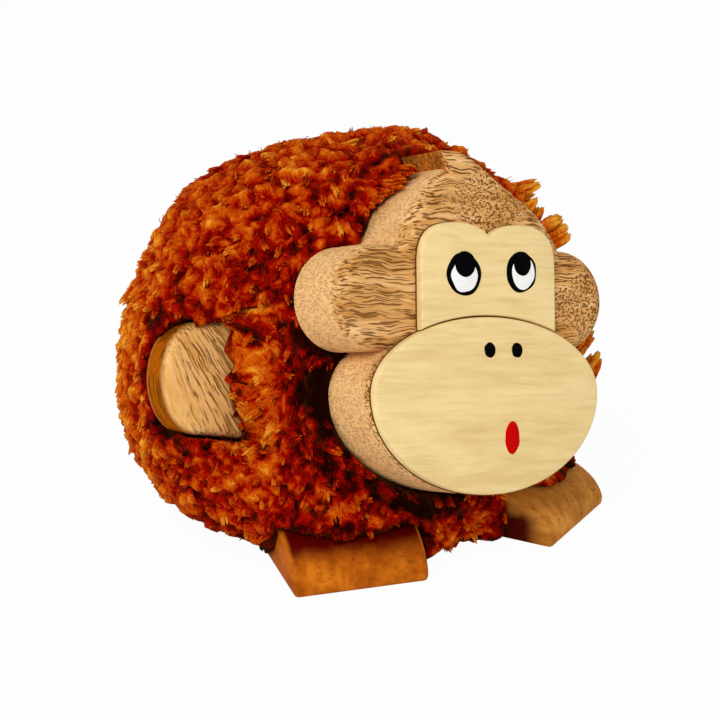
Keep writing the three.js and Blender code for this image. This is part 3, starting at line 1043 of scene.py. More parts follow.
    def glue_and_shadow_film(self) -> bpy.types.Object:
        """Fills the joint behind the plates with a dark film of glue, whose rim a little beyond the plates is
        also a painted shadow line at their edges.
        """
        film = board(self.muzzle_outline(-self.squeeze), self.glue, 0.0, 1)
        brow = self.brow_outline()
        middle = Vector((0.0, (self.brow_height + self.muzzle_upper) / 2, 0.0))
        for vert in brow.verts:
            away = vert.co - middle
            vert.co = middle + away * (1 + self.squeeze / max(away.length, 1.0))
        upper = board(brow, self.glue, 0.0, 1)
        shape = united([film, upper], "glue")
        bmesh.ops.translate(shape, verts=shape.verts, vec=(0.0, -self.glue, 0.0))
        return finished("face_glue_and_shadow", shape, self.frame, GLUE_AND_SHADOW.material(self.frame))

    def build(self) -> None:
        """Makes and fixes every piece of the head."""
        settle(self.block(), "head_wood", "head_block")
        brow, muzzle = self.plates()
        settle(brow, "pale_wood", "brow_plate")
        settle(muzzle, "pale_wood", "muzzle_plate")
        settle(self.glue_and_shadow_film(), "pale_wood")
        for patch in self.face():
            settle(patch, "pale_wood")


@dataclass
class Arm:
    """A D-shaped board that points up and out of the yarn."""

    side: Side
    thickness: float = 11.0
    length: float = 38.0
    tip_height: float = 27.0
    tip_depth: float = 10.0
    root_height: float = 33.0
    rounding: float = 2.4
    reach: float = 61.0
    forward: float = 8.0
    tip_rise: float = 46.0
    raise_deg: float = 10.4
    lean: float = -16.4
    tip_steps: int = 40

    def outline(self) -> bmesh.types.BMesh:
        """Makes the arm's outline, tip at x = 0."""
        tip = self.tip_height / 2
        root = self.root_height / 2
        points = [(-self.length, -root)]
        for step in range(self.tip_steps + 1):
            angle = (step / self.tip_steps - 0.5) * math.pi
            points.append((self.tip_depth * (math.cos(angle) - 1), tip * math.sin(angle)))
        points.append((-self.length, root))
        sign = self.side.value
        return sheet_of([(sign * x, y) for x, y in points])

    def place(self) -> Matrix:
        """The arm's frame, at the middle of its tip."""
        sign = self.side.value
        return stand((sign * self.reach, -self.forward, self.tip_rise), self.lean, -sign * self.raise_deg)

    def build(self) -> None:
        """Makes the arm and fixes it."""
        sign = self.side.value
        where = self.place()
        shape = board(self.outline(), self.thickness, self.rounding, 5, self.rounding)
        grain = where @ Matrix.Rotation(math.radians(-sign * 72), 4, "Y")
        label = f"{self.side.label}_arm"
        piece = finished(f"{label}_board", shape, where, ARM_WOOD.material(grain, f"_{self.side.label}"))

        def rim(middle: Vector, normal: Vector) -> float:
            """Paints shade on the sawn rim, most next to the face."""
            if middle.y > self.thickness - self.rounding * 0.8:
                return 0.0
            return max(0.0, 1 - abs(normal.y) * 1.3)

        painted_shade(piece, where, rim)
        settle(piece, "arm_wood", label)


@dataclass
class Foot:
    """A block with a rolled toe, turned out."""

    side: Side
    width: float = 32.8
    length: float = 40.0
    height: float = 12.8
    toe_face: float = 2.5
    toe_roll: float = 15.0
    nose_setback: float = 1.8
    nose_height: float = 9.6
    easing: float = 1.2
    spread: float = 66.0
    forward: float = 49.2
    right_splay: float = 17.5
    left_splay: float = 26.0

    def profile(self) -> bmesh.types.BMesh:
        """Makes the foot's side view as a flat face, toe at x = 0."""
        toe = (0.0, self.toe_face)
        top = (self.toe_roll, self.height)
        nose = (self.nose_setback, self.nose_height)
        pull = (top[0] + 2 * (nose[0] - top[0]) / 3, top[1] + 2 * (nose[1] - top[1]) / 3)
        push = (toe[0] + 2 * (nose[0] - toe[0]) / 3, toe[1] + 2 * (nose[1] - toe[1]) / 3)
        points = [(0.0, 0.0), (self.length, 0.0), (self.length, self.height), top]
        points += curve(top, pull, push, toe, 16)
        return sheet_of(points)

    def block(self) -> bmesh.types.BMesh:
        """Sweeps the side view across the width and eases its edges."""
        shape = self.profile()
        grown = bmesh.ops.extrude_face_region(shape, geom=shape.faces[:])
        far = [item for item in grown["geom"] if isinstance(item, bmesh.types.BMVert)]
        bmesh.ops.translate(shape, verts=far, vec=(0.0, 0.0, self.width))
        bmesh.ops.recalc_face_normals(shape, faces=shape.faces)
        keen = [edge for edge in shape.edges if edge.calc_face_angle(0.0) > math.radians(28)]
        bmesh.ops.bevel(
            shape, geom=keen, offset=self.easing, offset_type="OFFSET", segments=4, profile=0.5,
            affect="EDGES", material=-1, clamp_overlap=True,
        )
        turn = Matrix(((0.0, 0.0, 1.0), (1.0, 0.0, 0.0), (0.0, 1.0, 0.0)))
        bmesh.ops.rotate(shape, verts=shape.verts, matrix=turn)
        bmesh.ops.translate(shape, verts=shape.verts, vec=(-self.width / 2, 0.0, 0.0))
        return shape

    def place(self) -> Matrix:
        """The foot's frame, on the ground under the middle of its toe."""
        sign = self.side.value
        splay = self.right_splay if self.side is Side.RIGHT else self.left_splay
        return stand((sign * self.spread / 2, -self.forward, 0.0), splay=sign * splay)

    def build(self) -> None:
        """Makes the foot and fixes it."""
        where = self.place()
        grain = where @ Matrix.Rotation(math.pi / 2, 4, "Z")
        label = f"{self.side.label}_foot"
        finish = FOOT_WOOD if self.side is Side.RIGHT else FAR_FOOT_WOOD
        piece = finished(f"{label}_block", self.block(), where, finish.material(grain, f"_{self.side.label}"))
        settle(piece, "foot_wood", label)


class Ply(Enum):
    """Kinds of cut yarn end, with the spread of their plies."""

    BRUSH = 1.0
    CLOSED = 0.7
    SPLIT = 1.35


class CutEnd(NamedTuple):
    """One planted end of yarn: where it stands, how light it is and which template it copies."""

    root: Vector
    tip: Vector
    tone: float
    turn: float
    kind: int
    width: float


class Neighbours:
    """The places taken so far, kept by cells to find the nearest one quickly."""

    def __init__(self, cell: float) -> None:
        """Starts with no place taken."""
        self.cell = cell
        self.taken: dict[tuple[int, ...], list[Vector]] = {}

    def key(self, point: Vector) -> tuple[int, ...]:
        """Names the cell that a place lies in."""
        return tuple(int(math.floor(axis / self.cell)) for axis in point)

    def nearest(self, point: Vector) -> float:
        """Measures to the nearest place taken in the cells round a point.

        Args:
            point: The point.

        Returns:
            The distance, or infinity where those cells are empty.
        """
        x, y, z = self.key(point)
        steps = (-1, 0, 1)
        cells = ((x + dx, y + dy, z + dz) for dx in steps for dy in steps for dz in steps)
        others = (other for cell in cells for other in self.taken.get(cell, ()))
        return min(((other - point).length for other in others), default=math.inf)

    def take(self, point: Vector) -> None:
        """Takes a place."""
        self.taken.setdefault(self.key(point), []).append(point)


def stray(draws: random.Random, spread: float) -> Vector:
    """Draws a chance step in any direction."""
    return Vector((draws.gauss(0, spread), draws.gauss(0, spread), draws.gauss(0, spread)))


@dataclass
class YarnPile:
    """The ball of cut yarn: a puffed bed with thousands of wispy cut ends on it."""

    seed: int = 20
    spacing: float = 2.2
    clump_spacing: float = 3.35
    tries: int = 7
    lowest: float = 1.5
    length: float = 6.5
    proud: float = -0.3
    bed_depth: float = 2.75
    bed_relief: float = 3.2
    bed_cuts: int = 3
    bed_smooth: int = 2
    bed_trim: float = 0.5
    bed_root: float = 0.16
    bed_grade: float = 0.74
    trim_gap: float = 1.2
    bed_lift: float = 0.0004
    pile_lift: float = 0.0002
    puff: float = 4.8
    puff_edge: float = 1.8
    puff_base: float = 0.3
    puff_rise: float = 0.42
    crumb: float = 1.5
    swirl: float = 2.0
    patch: float = 16.0
    fibres: int = 7
    fibre_thick: float = 0.022
    lock_strands: int = 5
    lock_thick: float = 0.13
    end_root: float = 0.4
    lock_root: float = 0.26
    grade: float = 0.6
    kinds_each: int = 5
    chunk: int = 1200
    wood_margin: float = 1.0
    wood_clear: float = 0.3
    tip_clear: float = 0.6
    strand_half: float = 1.3
    clear_look: float = 6.0
    most_bend: float = 3.5
    wood_hug: float = 7.0
    hug_start: float = 1.5
    hug_reach: float = 1.9
    under: float = -0.8
    under_near: float = -0.3
    under_gap: float = 3.0
    lap: float = 3.0
    lap_wave: float = 4.2
    lap_swing: float = 0.9
    centre: tuple[float, float, float] = CENTRE
    flats: tuple = (
        (90.0, 57.4), (100.0, 55.0), (110.0, 56.6), (120.0, 59.0), (150.0, 60.6), (240.0, 57.8),
        (250.0, 54.5), (260.0, 50.6), (270.0, 52.4), (280.0, 54.4), (290.0, 56.0), (325.0, 57.4),
        (337.0, 59.4),
    )
    dents: tuple = (((0.600, -0.093, 0.795), 11.0, 55.5),)
    bulges: tuple = (
        ((-0.453, 0.587, 0.671), 20.0, 2.6),
        ((-0.145, -0.870, -0.471), 13.0, 2.6),
        ((0.341, 0.141, 0.930), 14.0, 1.8),
        ((0.717, -0.229, 0.659), 9.0, 2.2),
        ((-0.835, 0.500, -0.225), 30.0, 2.1),
    )
    # Painted shade and painted light on the pile, read by shade().
    wood_shade: float = 0.3
    wood_shade_reach: float = 17.0
    contact_shadow: float = 0.34
    contact_shadow_reach: float = 2.0
    foot_high: float = 15.0
    foot_reach: float = 5.0
    arm_front: float = -18.0
    arm_reach: float = 4.5
    low_shade: float = 0.08
    low_shade_reach: float = 30.0
    top_light: float = 0.12
    top_light_from: float = 0.35
    near_rim_light: tuple[float, float] = (0.5, 0.6)
    far_rim_light: tuple[float, float] = (0.42, 0.4)
    dulled: float = 0.08
    # Listed spots with painted shade, or painted light where the last number is below zero.
    shade_and_light_spots: tuple = (
        ((-32.3, -33.0, 43.5), 7.4, 0.85),
        ((-32.2, -36.8, 36.2), 5.0, 0.5),
        ((-37.5, -14.6, 55.2), 5.0, 0.6),
        ((-40.5, -9.5, 65.3), 5.0, 0.35),
        ((-36.9, -10.6, 72.1), 4.5, 0.3),
        ((-55.0, 5.6, 56.6), 4.5, 0.4),
        ((9.5, -45.6, 1.1), 8.0, 0.2),
        ((-16.0, -44.7, 18.3), 6.0, 0.3),
        ((-22.0, -23.8, 75.2), 7.0, -0.4),
        ((28.0, -44.8, 14.1), 9.0, -0.35),
        ((-36.2, -38.0, 19.3), 5.0, -0.25),
        ((-57.2, 5.3, 50.1), 4.0, -0.3),
    )
    across: tuple[float, float, float] = (0.822, -0.570, 0.0)
    upward: tuple[float, float, float] = (0.181, 0.260, 0.949)
    loose: tuple = (
        ((35.0, 38.0), (45.4, 41.8)),
        ((41.0, 31.5), (46.0, 38.4)),
        ((46.0, 29.0), (51.8, 34.4)),
        ((47.0, 28.0), (52.8, 31.2)),
        ((54.5, -1.0), (59.8, 4.8)),
        ((56.0, -8.5), (59.4, -0.8)),
    )
    loose_width: float = 0.95
    loose_each: int = 6
    loose_stray: float = 1.1
    loose_back: float = 0.25
    draped: tuple = (
        (-19.4, 13.6), (-18.2, 11.4), (-17.0, 9.6), (-15.8, 8.0), (-14.6, 7.0), (-13.4, 6.2), (-12.4, 5.8),
    )
    draped_gap: float = 1.7
    draped_root: float = 20.0
    draped_width: float = 0.6
    draped_lifts: tuple[float, float] = (0.0, 0.9)
    draped_step: float = 2.2
    flame_width: float = 0.5
    flame_length: float = 6.2
    flame_proud: float = 1.0
    flame_sunk: float = 0.6
    flame_trim: float = 0.9
    flame_shade: float = 0.72
    end_sunk: float = 0.7
    templates: list[tuple[bpy.types.Mesh, np.ndarray]] = field(default_factory=list)
    locks: list[int] = field(default_factory=list)
    shears: list[tuple[Vector, float]] = field(default_factory=list)
    arms: list[tuple[int, Matrix, Matrix]] = field(default_factory=list)
    foot: tuple[int, Matrix, Matrix] = field(init=False)

    def __post_init__(self) -> None:
        """Seeds the noise, and works out the planes of the trimming and the frames of arms and near foot."""
        noise.seed_set(self.seed)
        across, upward = Vector(self.across), Vector(self.upward)
        for turn, distance in self.flats:
            angle = math.radians(turn)
            self.shears.append((across * math.cos(angle) + upward * math.sin(angle), distance))
        for side in Side:
            where = Arm(side).place()
            self.arms.append((side.value, where, where.inverted()))
        where = Foot(Side.RIGHT).place()
        self.foot = (Side.RIGHT.value, where, where.inverted())

    def trimmed(self, tip: Vector, short: float = 0.0) -> Vector:
        """Cuts a tip back to where the ball was trimmed flat.

        Args:
            tip: A wanted tip.
            short: How far inside the cut it ends.

        Returns:
            The tip after the shears.
        """
        middle = Vector(self.centre)
        away = self.bulged(tip) - middle
        for normal, distance in self.shears:
            past = away.dot(normal) - distance + short
            if past > 0:
                away -= normal * past
        for normal, spread, distance in self.dents:
            turned = math.degrees(away.angle(Vector(normal)))
            if turned < spread and away.length > distance - short:
                eased = min(1.0, 2.0 * (1.0 - turned / spread))
                away *= 1.0 + eased * ((distance - short) / away.length - 1.0)
        return middle + away

    def swing(self, spot: Vector, middle: float) -> float:
        """Tells how far the yarn's edge swings out at a place, from 0 to 1."""
        return kept_in(middle + self.lap_swing * noise.noise(spot / self.lap_wave))

    def lapped(self, spot: Vector) -> Vector:
        """Draws the yarn beside an arm or above the near foot over its edges.

        Args:
            spot: A place on the yarn in millimetres.

        Returns:
            The place after lapping.
        """
        for sign, where, back in self.arms:
            local = back @ (spot * MM) / MM
            inward = -sign * local.x
            if not (-3.0 < inward < 31.0 and -14.0 < local.y < 1.0 and abs(local.z) < 19.5):
                continue
            wave = self.swing(spot, 0.55)
            near = max(0.0, 1.0 - max(0.0, -local.y - 1.5) / 12.0)
            if inward > 18.5 and abs(local.z) < 17.0:
                eased = 1.0 - max(0.0, inward - 24.5) / 6.5
                eased *= kept_in((local.z + 12.0) / 8.0)
                local.x += sign * self.lap * (0.7 + 2.0 * wave) * near * eased
            elif local.z > 13.0 and local.y < -0.2:
                local.z -= self.lap * wave * near
            return where @ (local * MM) / MM
        sign, where, back = self.foot
        local = back @ (spot * MM) / MM
        if not (12.9 < local.z < 26.0 and abs(local.x) < 19.0 and 2.0 < local.y < 24.0):
            return spot
        near = 1.0 - (local.z - 12.9) / 13.1
        inner = max(0.0, -sign * local.x / 16.4)
        local.y -= self.lap * near * (0.4 + 0.6 * self.swing(spot, 0.5)) * (0.5 + 1.4 * inner)
        return where @ (local * MM) / MM

    def bulged(self, spot: Vector) -> Vector:
        """Moves a place out where the pile stands fuller.

        Args:
            spot: The place in millimetres.

        Returns:
            The moved place.
        """
        middle = Vector(self.centre)
        away = spot - middle
        for normal, spread, extra in self.bulges:
            turned = math.degrees(away.angle(Vector(normal)))
            if turned < spread:
                away *= 1 + extra * (1 - turned / spread) / away.length
        return middle + away

    def strand(self, shape: bmesh.types.BMesh, sides: int, rings: Sequence[tuple[Vector, float]],
               tip: Vector) -> None:
        """Draws one strand through rings to a closed tip.

        Args:
            shape: The mesh that it joins.
            sides: Its number of sides.
            rings: Middles and radii of its rings, from the root up.
            tip: Its closed end.
        """
        made = bmesh.ops.create_circle(shape, cap_ends=False, segments=sides, radius=1.0)
        ring = made["verts"]
        loop = list(dict.fromkeys(edge for vert in ring for edge in vert.link_edges))
        size, centre = 1.0, Vector()
        for index, (middle, radius) in enumerate(rings):
            if index:
                grown = bmesh.ops.extrude_edge_only(shape, edges=loop)["geom"]
                ring = [item for item in grown if isinstance(item, bmesh.types.BMVert)]
                kept = set(ring)
                edges = [item for item in grown if isinstance(item, bmesh.types.BMEdge)]
                loop = [edge for edge in edges if set(edge.verts) <= kept]
            factor = radius / size
            about = Matrix.Translation(-centre)
            bmesh.ops.scale(shape, verts=ring, vec=(factor, factor, factor), space=about)
            bmesh.ops.translate(shape, verts=ring, vec=middle - centre)
            size, centre = radius, middle
        grown = bmesh.ops.extrude_edge_only(shape, edges=loop)["geom"]
        ring = [item for item in grown if isinstance(item, bmesh.types.BMVert)]
        bmesh.ops.pointmerge(shape, verts=ring, merge_co=tip)

    def template(self, name: str, shape: bmesh.types.BMesh, root: float) -> tuple[bpy.types.Mesh, np.ndarray]:
        """Finishes a template and grades it from its root to its tip.

        Args:
            name: The mesh's name.
            shape: The template, which is freed.
            root: Grade of the root.

        Returns:
            Its mesh and each vertex's grade.
        """
        bmesh.ops.recalc_face_normals(shape, faces=shape.faces)
        mesh = meshed(name, shape)
        heights = np.array([vert.co.z for vert in mesh.vertices])
        # The grade darkens the roots against the tips, as painted shade deep in the pile.
        return mesh, root + self.grade * np.clip(heights, 0.0, 1.0)

    def tuft_template(self, flare: float, draws: random.Random) -> tuple[bpy.types.Mesh, np.ndarray]:
        """Makes one cut yarn end of unit length, standing on the origin.

        Args:
            flare: How far its fibres spread.
            draws: Source of its chance shapes.

        Returns:
            Its mesh and each vertex's grade.
        """
        shape = bmesh.new()
        bow = Vector((draws.uniform(0.08, 0.2), draws.uniform(-0.06, 0.06), 0.0))
        up = Vector((0.0, 0.0, 1.0))
        for number in range(self.fibres):
            angle = FULL_TURN * (number * GOLDEN_SHARE + draws.uniform(-0.08, 0.08))
            radius = math.sqrt((number + 0.5) / self.fibres)
            out = Vector((0.7 * math.cos(angle), math.sin(angle), 0.0)) * radius
            tall = draws.uniform(0.84, 1.05) - 0.1 * radius
            thick = self.fibre_thick * draws.uniform(0.8, 1.25)
            drift = Vector((draws.uniform(-0.05, 0.05), draws.uniform(-0.05, 0.05), 0.0))
            foot = out * 0.12
            waist = out * 0.19 * flare + bow * 0.3 + up * (tall * 0.55)
            neck = out * (0.24 * flare - 0.03) + bow * 0.9 + up * (tall * 0.9)
            tip = out * (0.24 * flare - 0.06) + bow * 1.1 + drift + up * tall
            self.strand(shape, 3, [(foot, thick), (waist, thick), (neck, thick * 0.9)], tip)
        return self.template("cut_end", shape, self.end_root)

    def lock_template(self, draws: random.Random) -> tuple[bpy.types.Mesh, np.ndarray]:
        """Makes one loose lock of unit length: fat, blunt strands that lie together.

        Args:
            draws: Source of its chance shapes.

        Returns:
            Its mesh and each vertex's grade.
        """
        shape = bmesh.new()
        up = Vector((0.0, 0.0, 1.0))
        for number in range(self.lock_strands):
            angle = FULL_TURN * (number * GOLDEN_SHARE + draws.uniform(-0.08, 0.08))
            radius = math.sqrt((number + 0.5) / self.lock_strands)
            out = Vector((math.cos(angle), math.sin(angle), 0.0)) * radius
            tall = draws.uniform(0.72, 1.0)
            thick = self.lock_thick * draws.uniform(0.85, 1.2)
            drift = Vector((draws.uniform(-0.05, 0.05), draws.uniform(-0.05, 0.05), 0.0))
            rings = [
                (out * 0.2, thick),
                (out * 0.26 + up * (tall * 0.4), thick * 1.1),
                (out * 0.24 + drift + up * (tall * 0.72), thick * 0.95),
                (out * 0.21 + drift * 1.4 + up * (tall * 0.92), thick * 0.55),
            ]
            self.strand(shape, 7, rings, out * 0.2 + drift * 1.5 + up * tall)
        return self.template("loose_lock", shape, self.lock_root)

    def make_templates(self) -> None:
        """Makes a few cut ends of each kind."""
        draws = random.Random(self.seed)
        for kind in Ply:
            for _ in range(self.kinds_each):
                self.templates.append(self.tuft_template(kind.value, draws))
        self.locks = [len(self.templates) + number for number in range(self.kinds_each)]
        for _ in self.locks:
            self.templates.append(self.lock_template(draws))

    def bed(self) -> bmesh.types.BMesh:
        """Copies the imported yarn, merged and still in metres."""
        shape = bmesh.new()
        shape.from_mesh(frame["nodes"]["yarn_body"].data)
        bmesh.ops.remove_doubles(shape, verts=shape.verts, dist=1e-6)
        bmesh.ops.recalc_face_normals(shape, faces=shape.faces)
        return shape

    def wood(self) -> BVHTree:
        """Gathers the wooden nodes that the yarn keeps clear of, in millimetres."""
        points, faces = [], []
        for name, node in frame["nodes"].items():
            if name == "yarn_body":
                continue
            base = len(points)
            points += [vert.co / MM for vert in node.data.vertices]
            faces += [[base + i for i in polygon.vertices] for polygon in node.data.polygons]
        return BVHTree.FromPolygons(points, faces)

    def spots(self, bed: bmesh.types.BMesh, wood: BVHTree) -> tuple[list[Vector], list[Vector]]:
        """Spreads places for the cut ends over the open yarn.

        Args:
            bed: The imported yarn.
            wood: The wooden nodes.

        Returns:
            Places and outward directions, in millimetres.
        """
        draws = random.Random(self.seed + 1)
        faces = list(bed.faces)
        areas = np.cumsum([face.calc_area() for face in faces])
        tries = int(areas[-1] / MM ** 2 / self.spacing ** 2 * self.tries)
        taken = Neighbours(self.spacing)
        places, ways = [], []
        for _ in range(tries):
            face = faces[int(np.searchsorted(areas, draws.random() * areas[-1]))]
            a, b = draws.random(), draws.random()
            if a + b > 1:
                a, b = 1 - a, 1 - b
            one, two, three = (loop.vert for loop in face.loops[:3])
            point = (one.co + (two.co - one.co) * a + (three.co - one.co) * b) / MM
            if point.z < self.lowest or taken.nearest(point) < self.spacing:
                continue
            if wood.find_nearest(point, self.wood_margin)[0] is not None:
                continue
            normal = one.normal * (1 - a - b) + two.normal * a + three.normal * b
            taken.take(point)
            places.append(point)
            ways.append((normal.normalized() + face.normal * 0.3).normalized())
        return places, ways

    def clumps(self, places: list[Vector]) -> list[int]:
        """Picks the numbers of the cut ends that are the middles of clumps."""
        draws = random.Random(self.seed + 2)
        order = list(range(len(places)))
        draws.shuffle(order)
        taken = Neighbours(self.clump_spacing)
        picked = []
        for index in order:
            if taken.nearest(places[index]) > self.clump_spacing:
                taken.take(places[index])
                picked.append(index)
        return picked

    def clear_of(self, wood: BVHTree, root: Vector, tip: Vector) -> Optional[Vector]:
        """Bends a cut end away from the wood.

        Args:
            wood: The wooden nodes.
            root: Foot of the cut end.
            tip: Its wanted tip.

        Returns:
            A tip that stays clear, or nothing where there is none.
        """
        wanted = tip
        for _ in range(3):
            worst = None
            for share in (0.45, 0.75, 1.0):
                point = root.lerp(tip, share)
                found, normal, _, distance = wood.find_nearest(point, self.clear_look)
                if found is None:
                    continue
                signed = math.copysign(distance, (point - found).dot(normal))
                short = self.strand_half + self.wood_clear - signed
                if short > 0 and (worst is None or short > worst[0]):
                    worst = (short, normal, share)
            if worst is None:
                return tip
            tip = tip + worst[1] * worst[0] / worst[2]
            if (tip - wanted).length > self.most_bend:
                return None
        point = root.lerp(tip, 0.9)
        found, normal, _, distance = wood.find_nearest(point, self.clear_look)
        if found is not None and (point - found).dot(normal) < self.tip_clear:
            return None
        return tip

    def build(self) -> None:
        """Makes the bed and the pile and fixes them."""
        self.make_templates()
        bed = self.bed()
        wood = self.wood()
        places, ways = self.spots(bed, wood)
        picked = self.clumps(places)
        LOG.info("yarn: %d cut ends in %d clumps", len(places), len(picked))
        material = YARN.material()
        self.build_bed(bed, wood, material)
        self.build_pile(places, ways, picked, wood, material)

    def puffed(self, spot: Vector) -> tuple[float, Vector, float]:
        """Finds the puff of yarn that a place lies on.

        Args:
            spot: The place in millimetres.

        Returns:
            The puff's height there from 0 to 1, the way to its edge and its tone.
        """
        swirled = spot + noise.noise_vector(spot / (self.puff * 0.8)) * self.swirl
        near, middles = noise.voronoi(swirled / self.puff)
        crest = min(1.0, (near[1] - near[0]) * self.puff_edge)
        height = self.puff_base + self.puff_rise * crest ** 0.6
        height += 0.5 * noise.noise(spot / (2 * self.crumb)) + 0.3 * noise.noise(spot / self.crumb)
        tone = 0.1 * noise.noise(middles[0] * 7.3) + 0.12 * noise.noise(spot / self.patch)
        return kept_in(height), swirled / self.puff - middles[0], tone

    def shade(self, wood: BVHTree, spot: Vector, way: Vector) -> float:
        """Tells the painted shade and painted light on the pile: darker and redder beside wood and low down,
        darker or paler at listed spots, paler at the sides and on top.

        Args:
            wood: The wooden nodes.
            spot: A place on the yarn in millimetres.
            way: Which way it faces.

        Returns:
            The change of its tone.
        """
        # Painted shade beside wood, and a painted contact shadow where the yarn meets it.
        found, _, _, gap = wood.find_nearest(spot, self.wood_shade_reach)
        deep = 0.0
        if found is not None:
            reach = self.arm_reach if found.y > self.arm_front else self.wood_shade_reach
            reach = reach if found.z > self.foot_high else self.foot_reach
            deep = self.wood_shade * max(0.0, 1.0 - gap / reach)
            deep += self.contact_shadow * max(0.0, 1.0 - gap / self.contact_shadow_reach)
        # Painted shade at listed spots, and painted light where the listed amount is below zero.
        for place, reach, extra in self.shade_and_light_spots:
            deep += extra * max(0.0, 1.0 - ((spot - Vector(place)).length / reach) ** 2)
        # Painted shade low down, painted rim light at the sides and painted light on top.
        low = self.low_shade * max(0.0, 1.0 - spot.z / self.low_shade_reach)
        aside = way.dot(Vector(self.across))
        rim_light = self.near_rim_light[0] * max(0.0, -aside - self.near_rim_light[1])
        rim_light += self.far_rim_light[0] * max(0.0, aside - self.far_rim_light[1])
        high = self.top_light * max(0.0, way.z - self.top_light_from)
        return rim_light + high - deep - low - self.dulled

    def hug(self, wood: BVHTree, spot: Vector) -> tuple[float, float, float]:
        """Tells how the fleece swells against wood.

        Args:
            wood: The wooden nodes.
            spot: A place on the yarn in millimetres.

        Returns:
            How much of its own relief it keeps, how far it swells, and how far away the wood is.
        """
        found, _, _, gap = wood.find_nearest(spot, self.wood_hug)
        if found is None:
            return 1.0, 0.0, math.inf
        ease = kept_in((gap - self.hug_start) / (self.wood_hug - self.hug_start))
        return ease, (1.0 - ease) * min(self.hug_reach, max(0.0, 0.85 * gap - 0.3)), gap

    def dress(self, name: str, shape: bmesh.types.BMesh, depth: np.ndarray, tone: np.ndarray,
              material: bpy.types.Material) -> None:
        """Makes one piece of yarn with its grades and tones, and fixes it.

        Args:
            name: The piece's name.
            shape: Its shape in metres, which is freed.
            depth: Each vertex's grade from the root to the tip.
            tone: Each vertex's tone.
            material: The yarn's finish.
        """
        mesh = meshed(name, shape)
        for label, values in (("pile_depth", depth), ("pile_tone_light_and_shade", tone)):
            mesh.attributes.new(label, "FLOAT", "POINT").data.foreach_set("value", values)
        mesh.materials.append(material)
        mesh.shade_smooth()
        settle(linked(name, mesh), "yarn", "yarn_body")

    def build_bed(self, bed: bmesh.types.BMesh, wood: BVHTree, material: bpy.types.Material) -> None:
        """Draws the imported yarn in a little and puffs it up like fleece.

        Args:
            bed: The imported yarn, which is used up.
            wood: The wooden nodes, which it hugs.
            material: The yarn's finish.
        """
        bmesh.ops.subdivide_edges(bed, edges=bed.edges[:], cuts=self.bed_cuts, use_grid_fill=True)
        bmesh.ops.triangulate(bed, faces=bed.faces[:])
        axes = {"use_axis_x": True, "use_axis_y": True, "use_axis_z": True}
        for _ in range(self.bed_smooth):
            bmesh.ops.smooth_vert(bed, verts=bed.verts[:], factor=0.5, **axes)
        bed.normal_update()
        heights, tones = [], []
        for vert in bed.verts:
            height, _, tone = self.puffed(vert.co / MM)
            heights.append(height)
            tones.append(tone + self.shade(wood, vert.co / MM, vert.normal))
        for vert, height in zip(bed.verts, heights):
            ease, swell, gap = self.hug(wood, vert.co / MM)
            drawn = (self.bed_depth - self.bed_relief * height) * ease - swell
            vert.co -= vert.normal * drawn * MM
            if gap > self.trim_gap:
                vert.co = self.trimmed(vert.co / MM, self.bed_trim) * MM
            vert.co = self.lapped(vert.co / MM) * MM
            vert.co.z = max(vert.co.z, self.bed_lift)
        # Painted shade: the bed darkens in the creases between puffs and lightens on their tops.
        depth = self.bed_root + self.bed_grade * np.array(heights)
        self.dress("yarn_bed", bed, depth, np.array(tones), material)

    def loose_ends(self, draws: random.Random) -> list[CutEnd]:
        """Makes the loose ends that stick out beside the head.

        Args:
            draws: Source of their chance shapes.

        Returns:
            The ends.
        """
        middle, across, upward = Vector(self.centre), Vector(self.across), Vector(self.upward)
        made = []
        for ends in self.loose:
            start, end = (middle + across * aside + upward * high for aside, high in ends)
            start += (start - end) * self.loose_back
            for _ in range(self.loose_each):
                step = stray(draws, self.loose_stray)
                kind = draws.choice(self.locks)
                # Painted light: the loose ends get a paler tone.
                tone = draws.gauss(0.13, 0.07)
                made.append(CutEnd(start + step, end + step, tone, draws.random(), kind, self.loose_width))
        return made

    def draped_locks(self, draws: random.Random) -> list[CutEnd]:
        """Makes the locks that lie over the skull's side below the tuft.

        Args:
            draws: Source of their chance shapes.

        Returns:
            The locks.
        """
        head = Head()
        made = []
        for aside, reach in self.draped:
            slope = (head.crown(aside + 0.1) - head.crown(aside - 0.1)) / 0.2
            out = Vector((-slope, 0.0, 1.0)).normalized()
            foot = Vector((aside, 0.0, head.crown(aside))) + out * self.draped_gap
            for lift in self.draped_lifts:
                back = reach + self.draped_step * lift + draws.gauss(0, 0.5)
                root = foot + Vector((0.0, self.draped_root, 0.0)) + out * lift
                tip = foot + Vector((0.0, back, 0.0)) + out * lift
                ends = [head.frame @ (spot * MM) / MM for spot in (root, tip)]
                tone, turn = draws.gauss(-0.2, 0.1), draws.random()
                made.append(CutEnd(*ends, tone, turn, draws.choice(self.locks), self.draped_width))
        return made

    def shorn(self, wood: BVHTree, place: Vector, root: Vector, tip: Vector,
              short: float = 0.0) -> Optional[tuple[Vector, Vector]]:
        """Trims one end, draws it over the edges beside it and bends it clear of the wood.

        Args:
            wood: The wooden nodes.
            place: Where it stands.
            root: Its wanted root.
            tip: Its wanted tip.
            short: How far inside the cut it ends.

        Returns:
            Its root and tip, or nothing where the wood leaves no room.
        """
        cut = self.trimmed(tip, short) + self.lapped(place) - place
        root = root + (cut - tip)
        tip = self.clear_of(wood, root, cut)
        return None if tip is None else (root, tip)

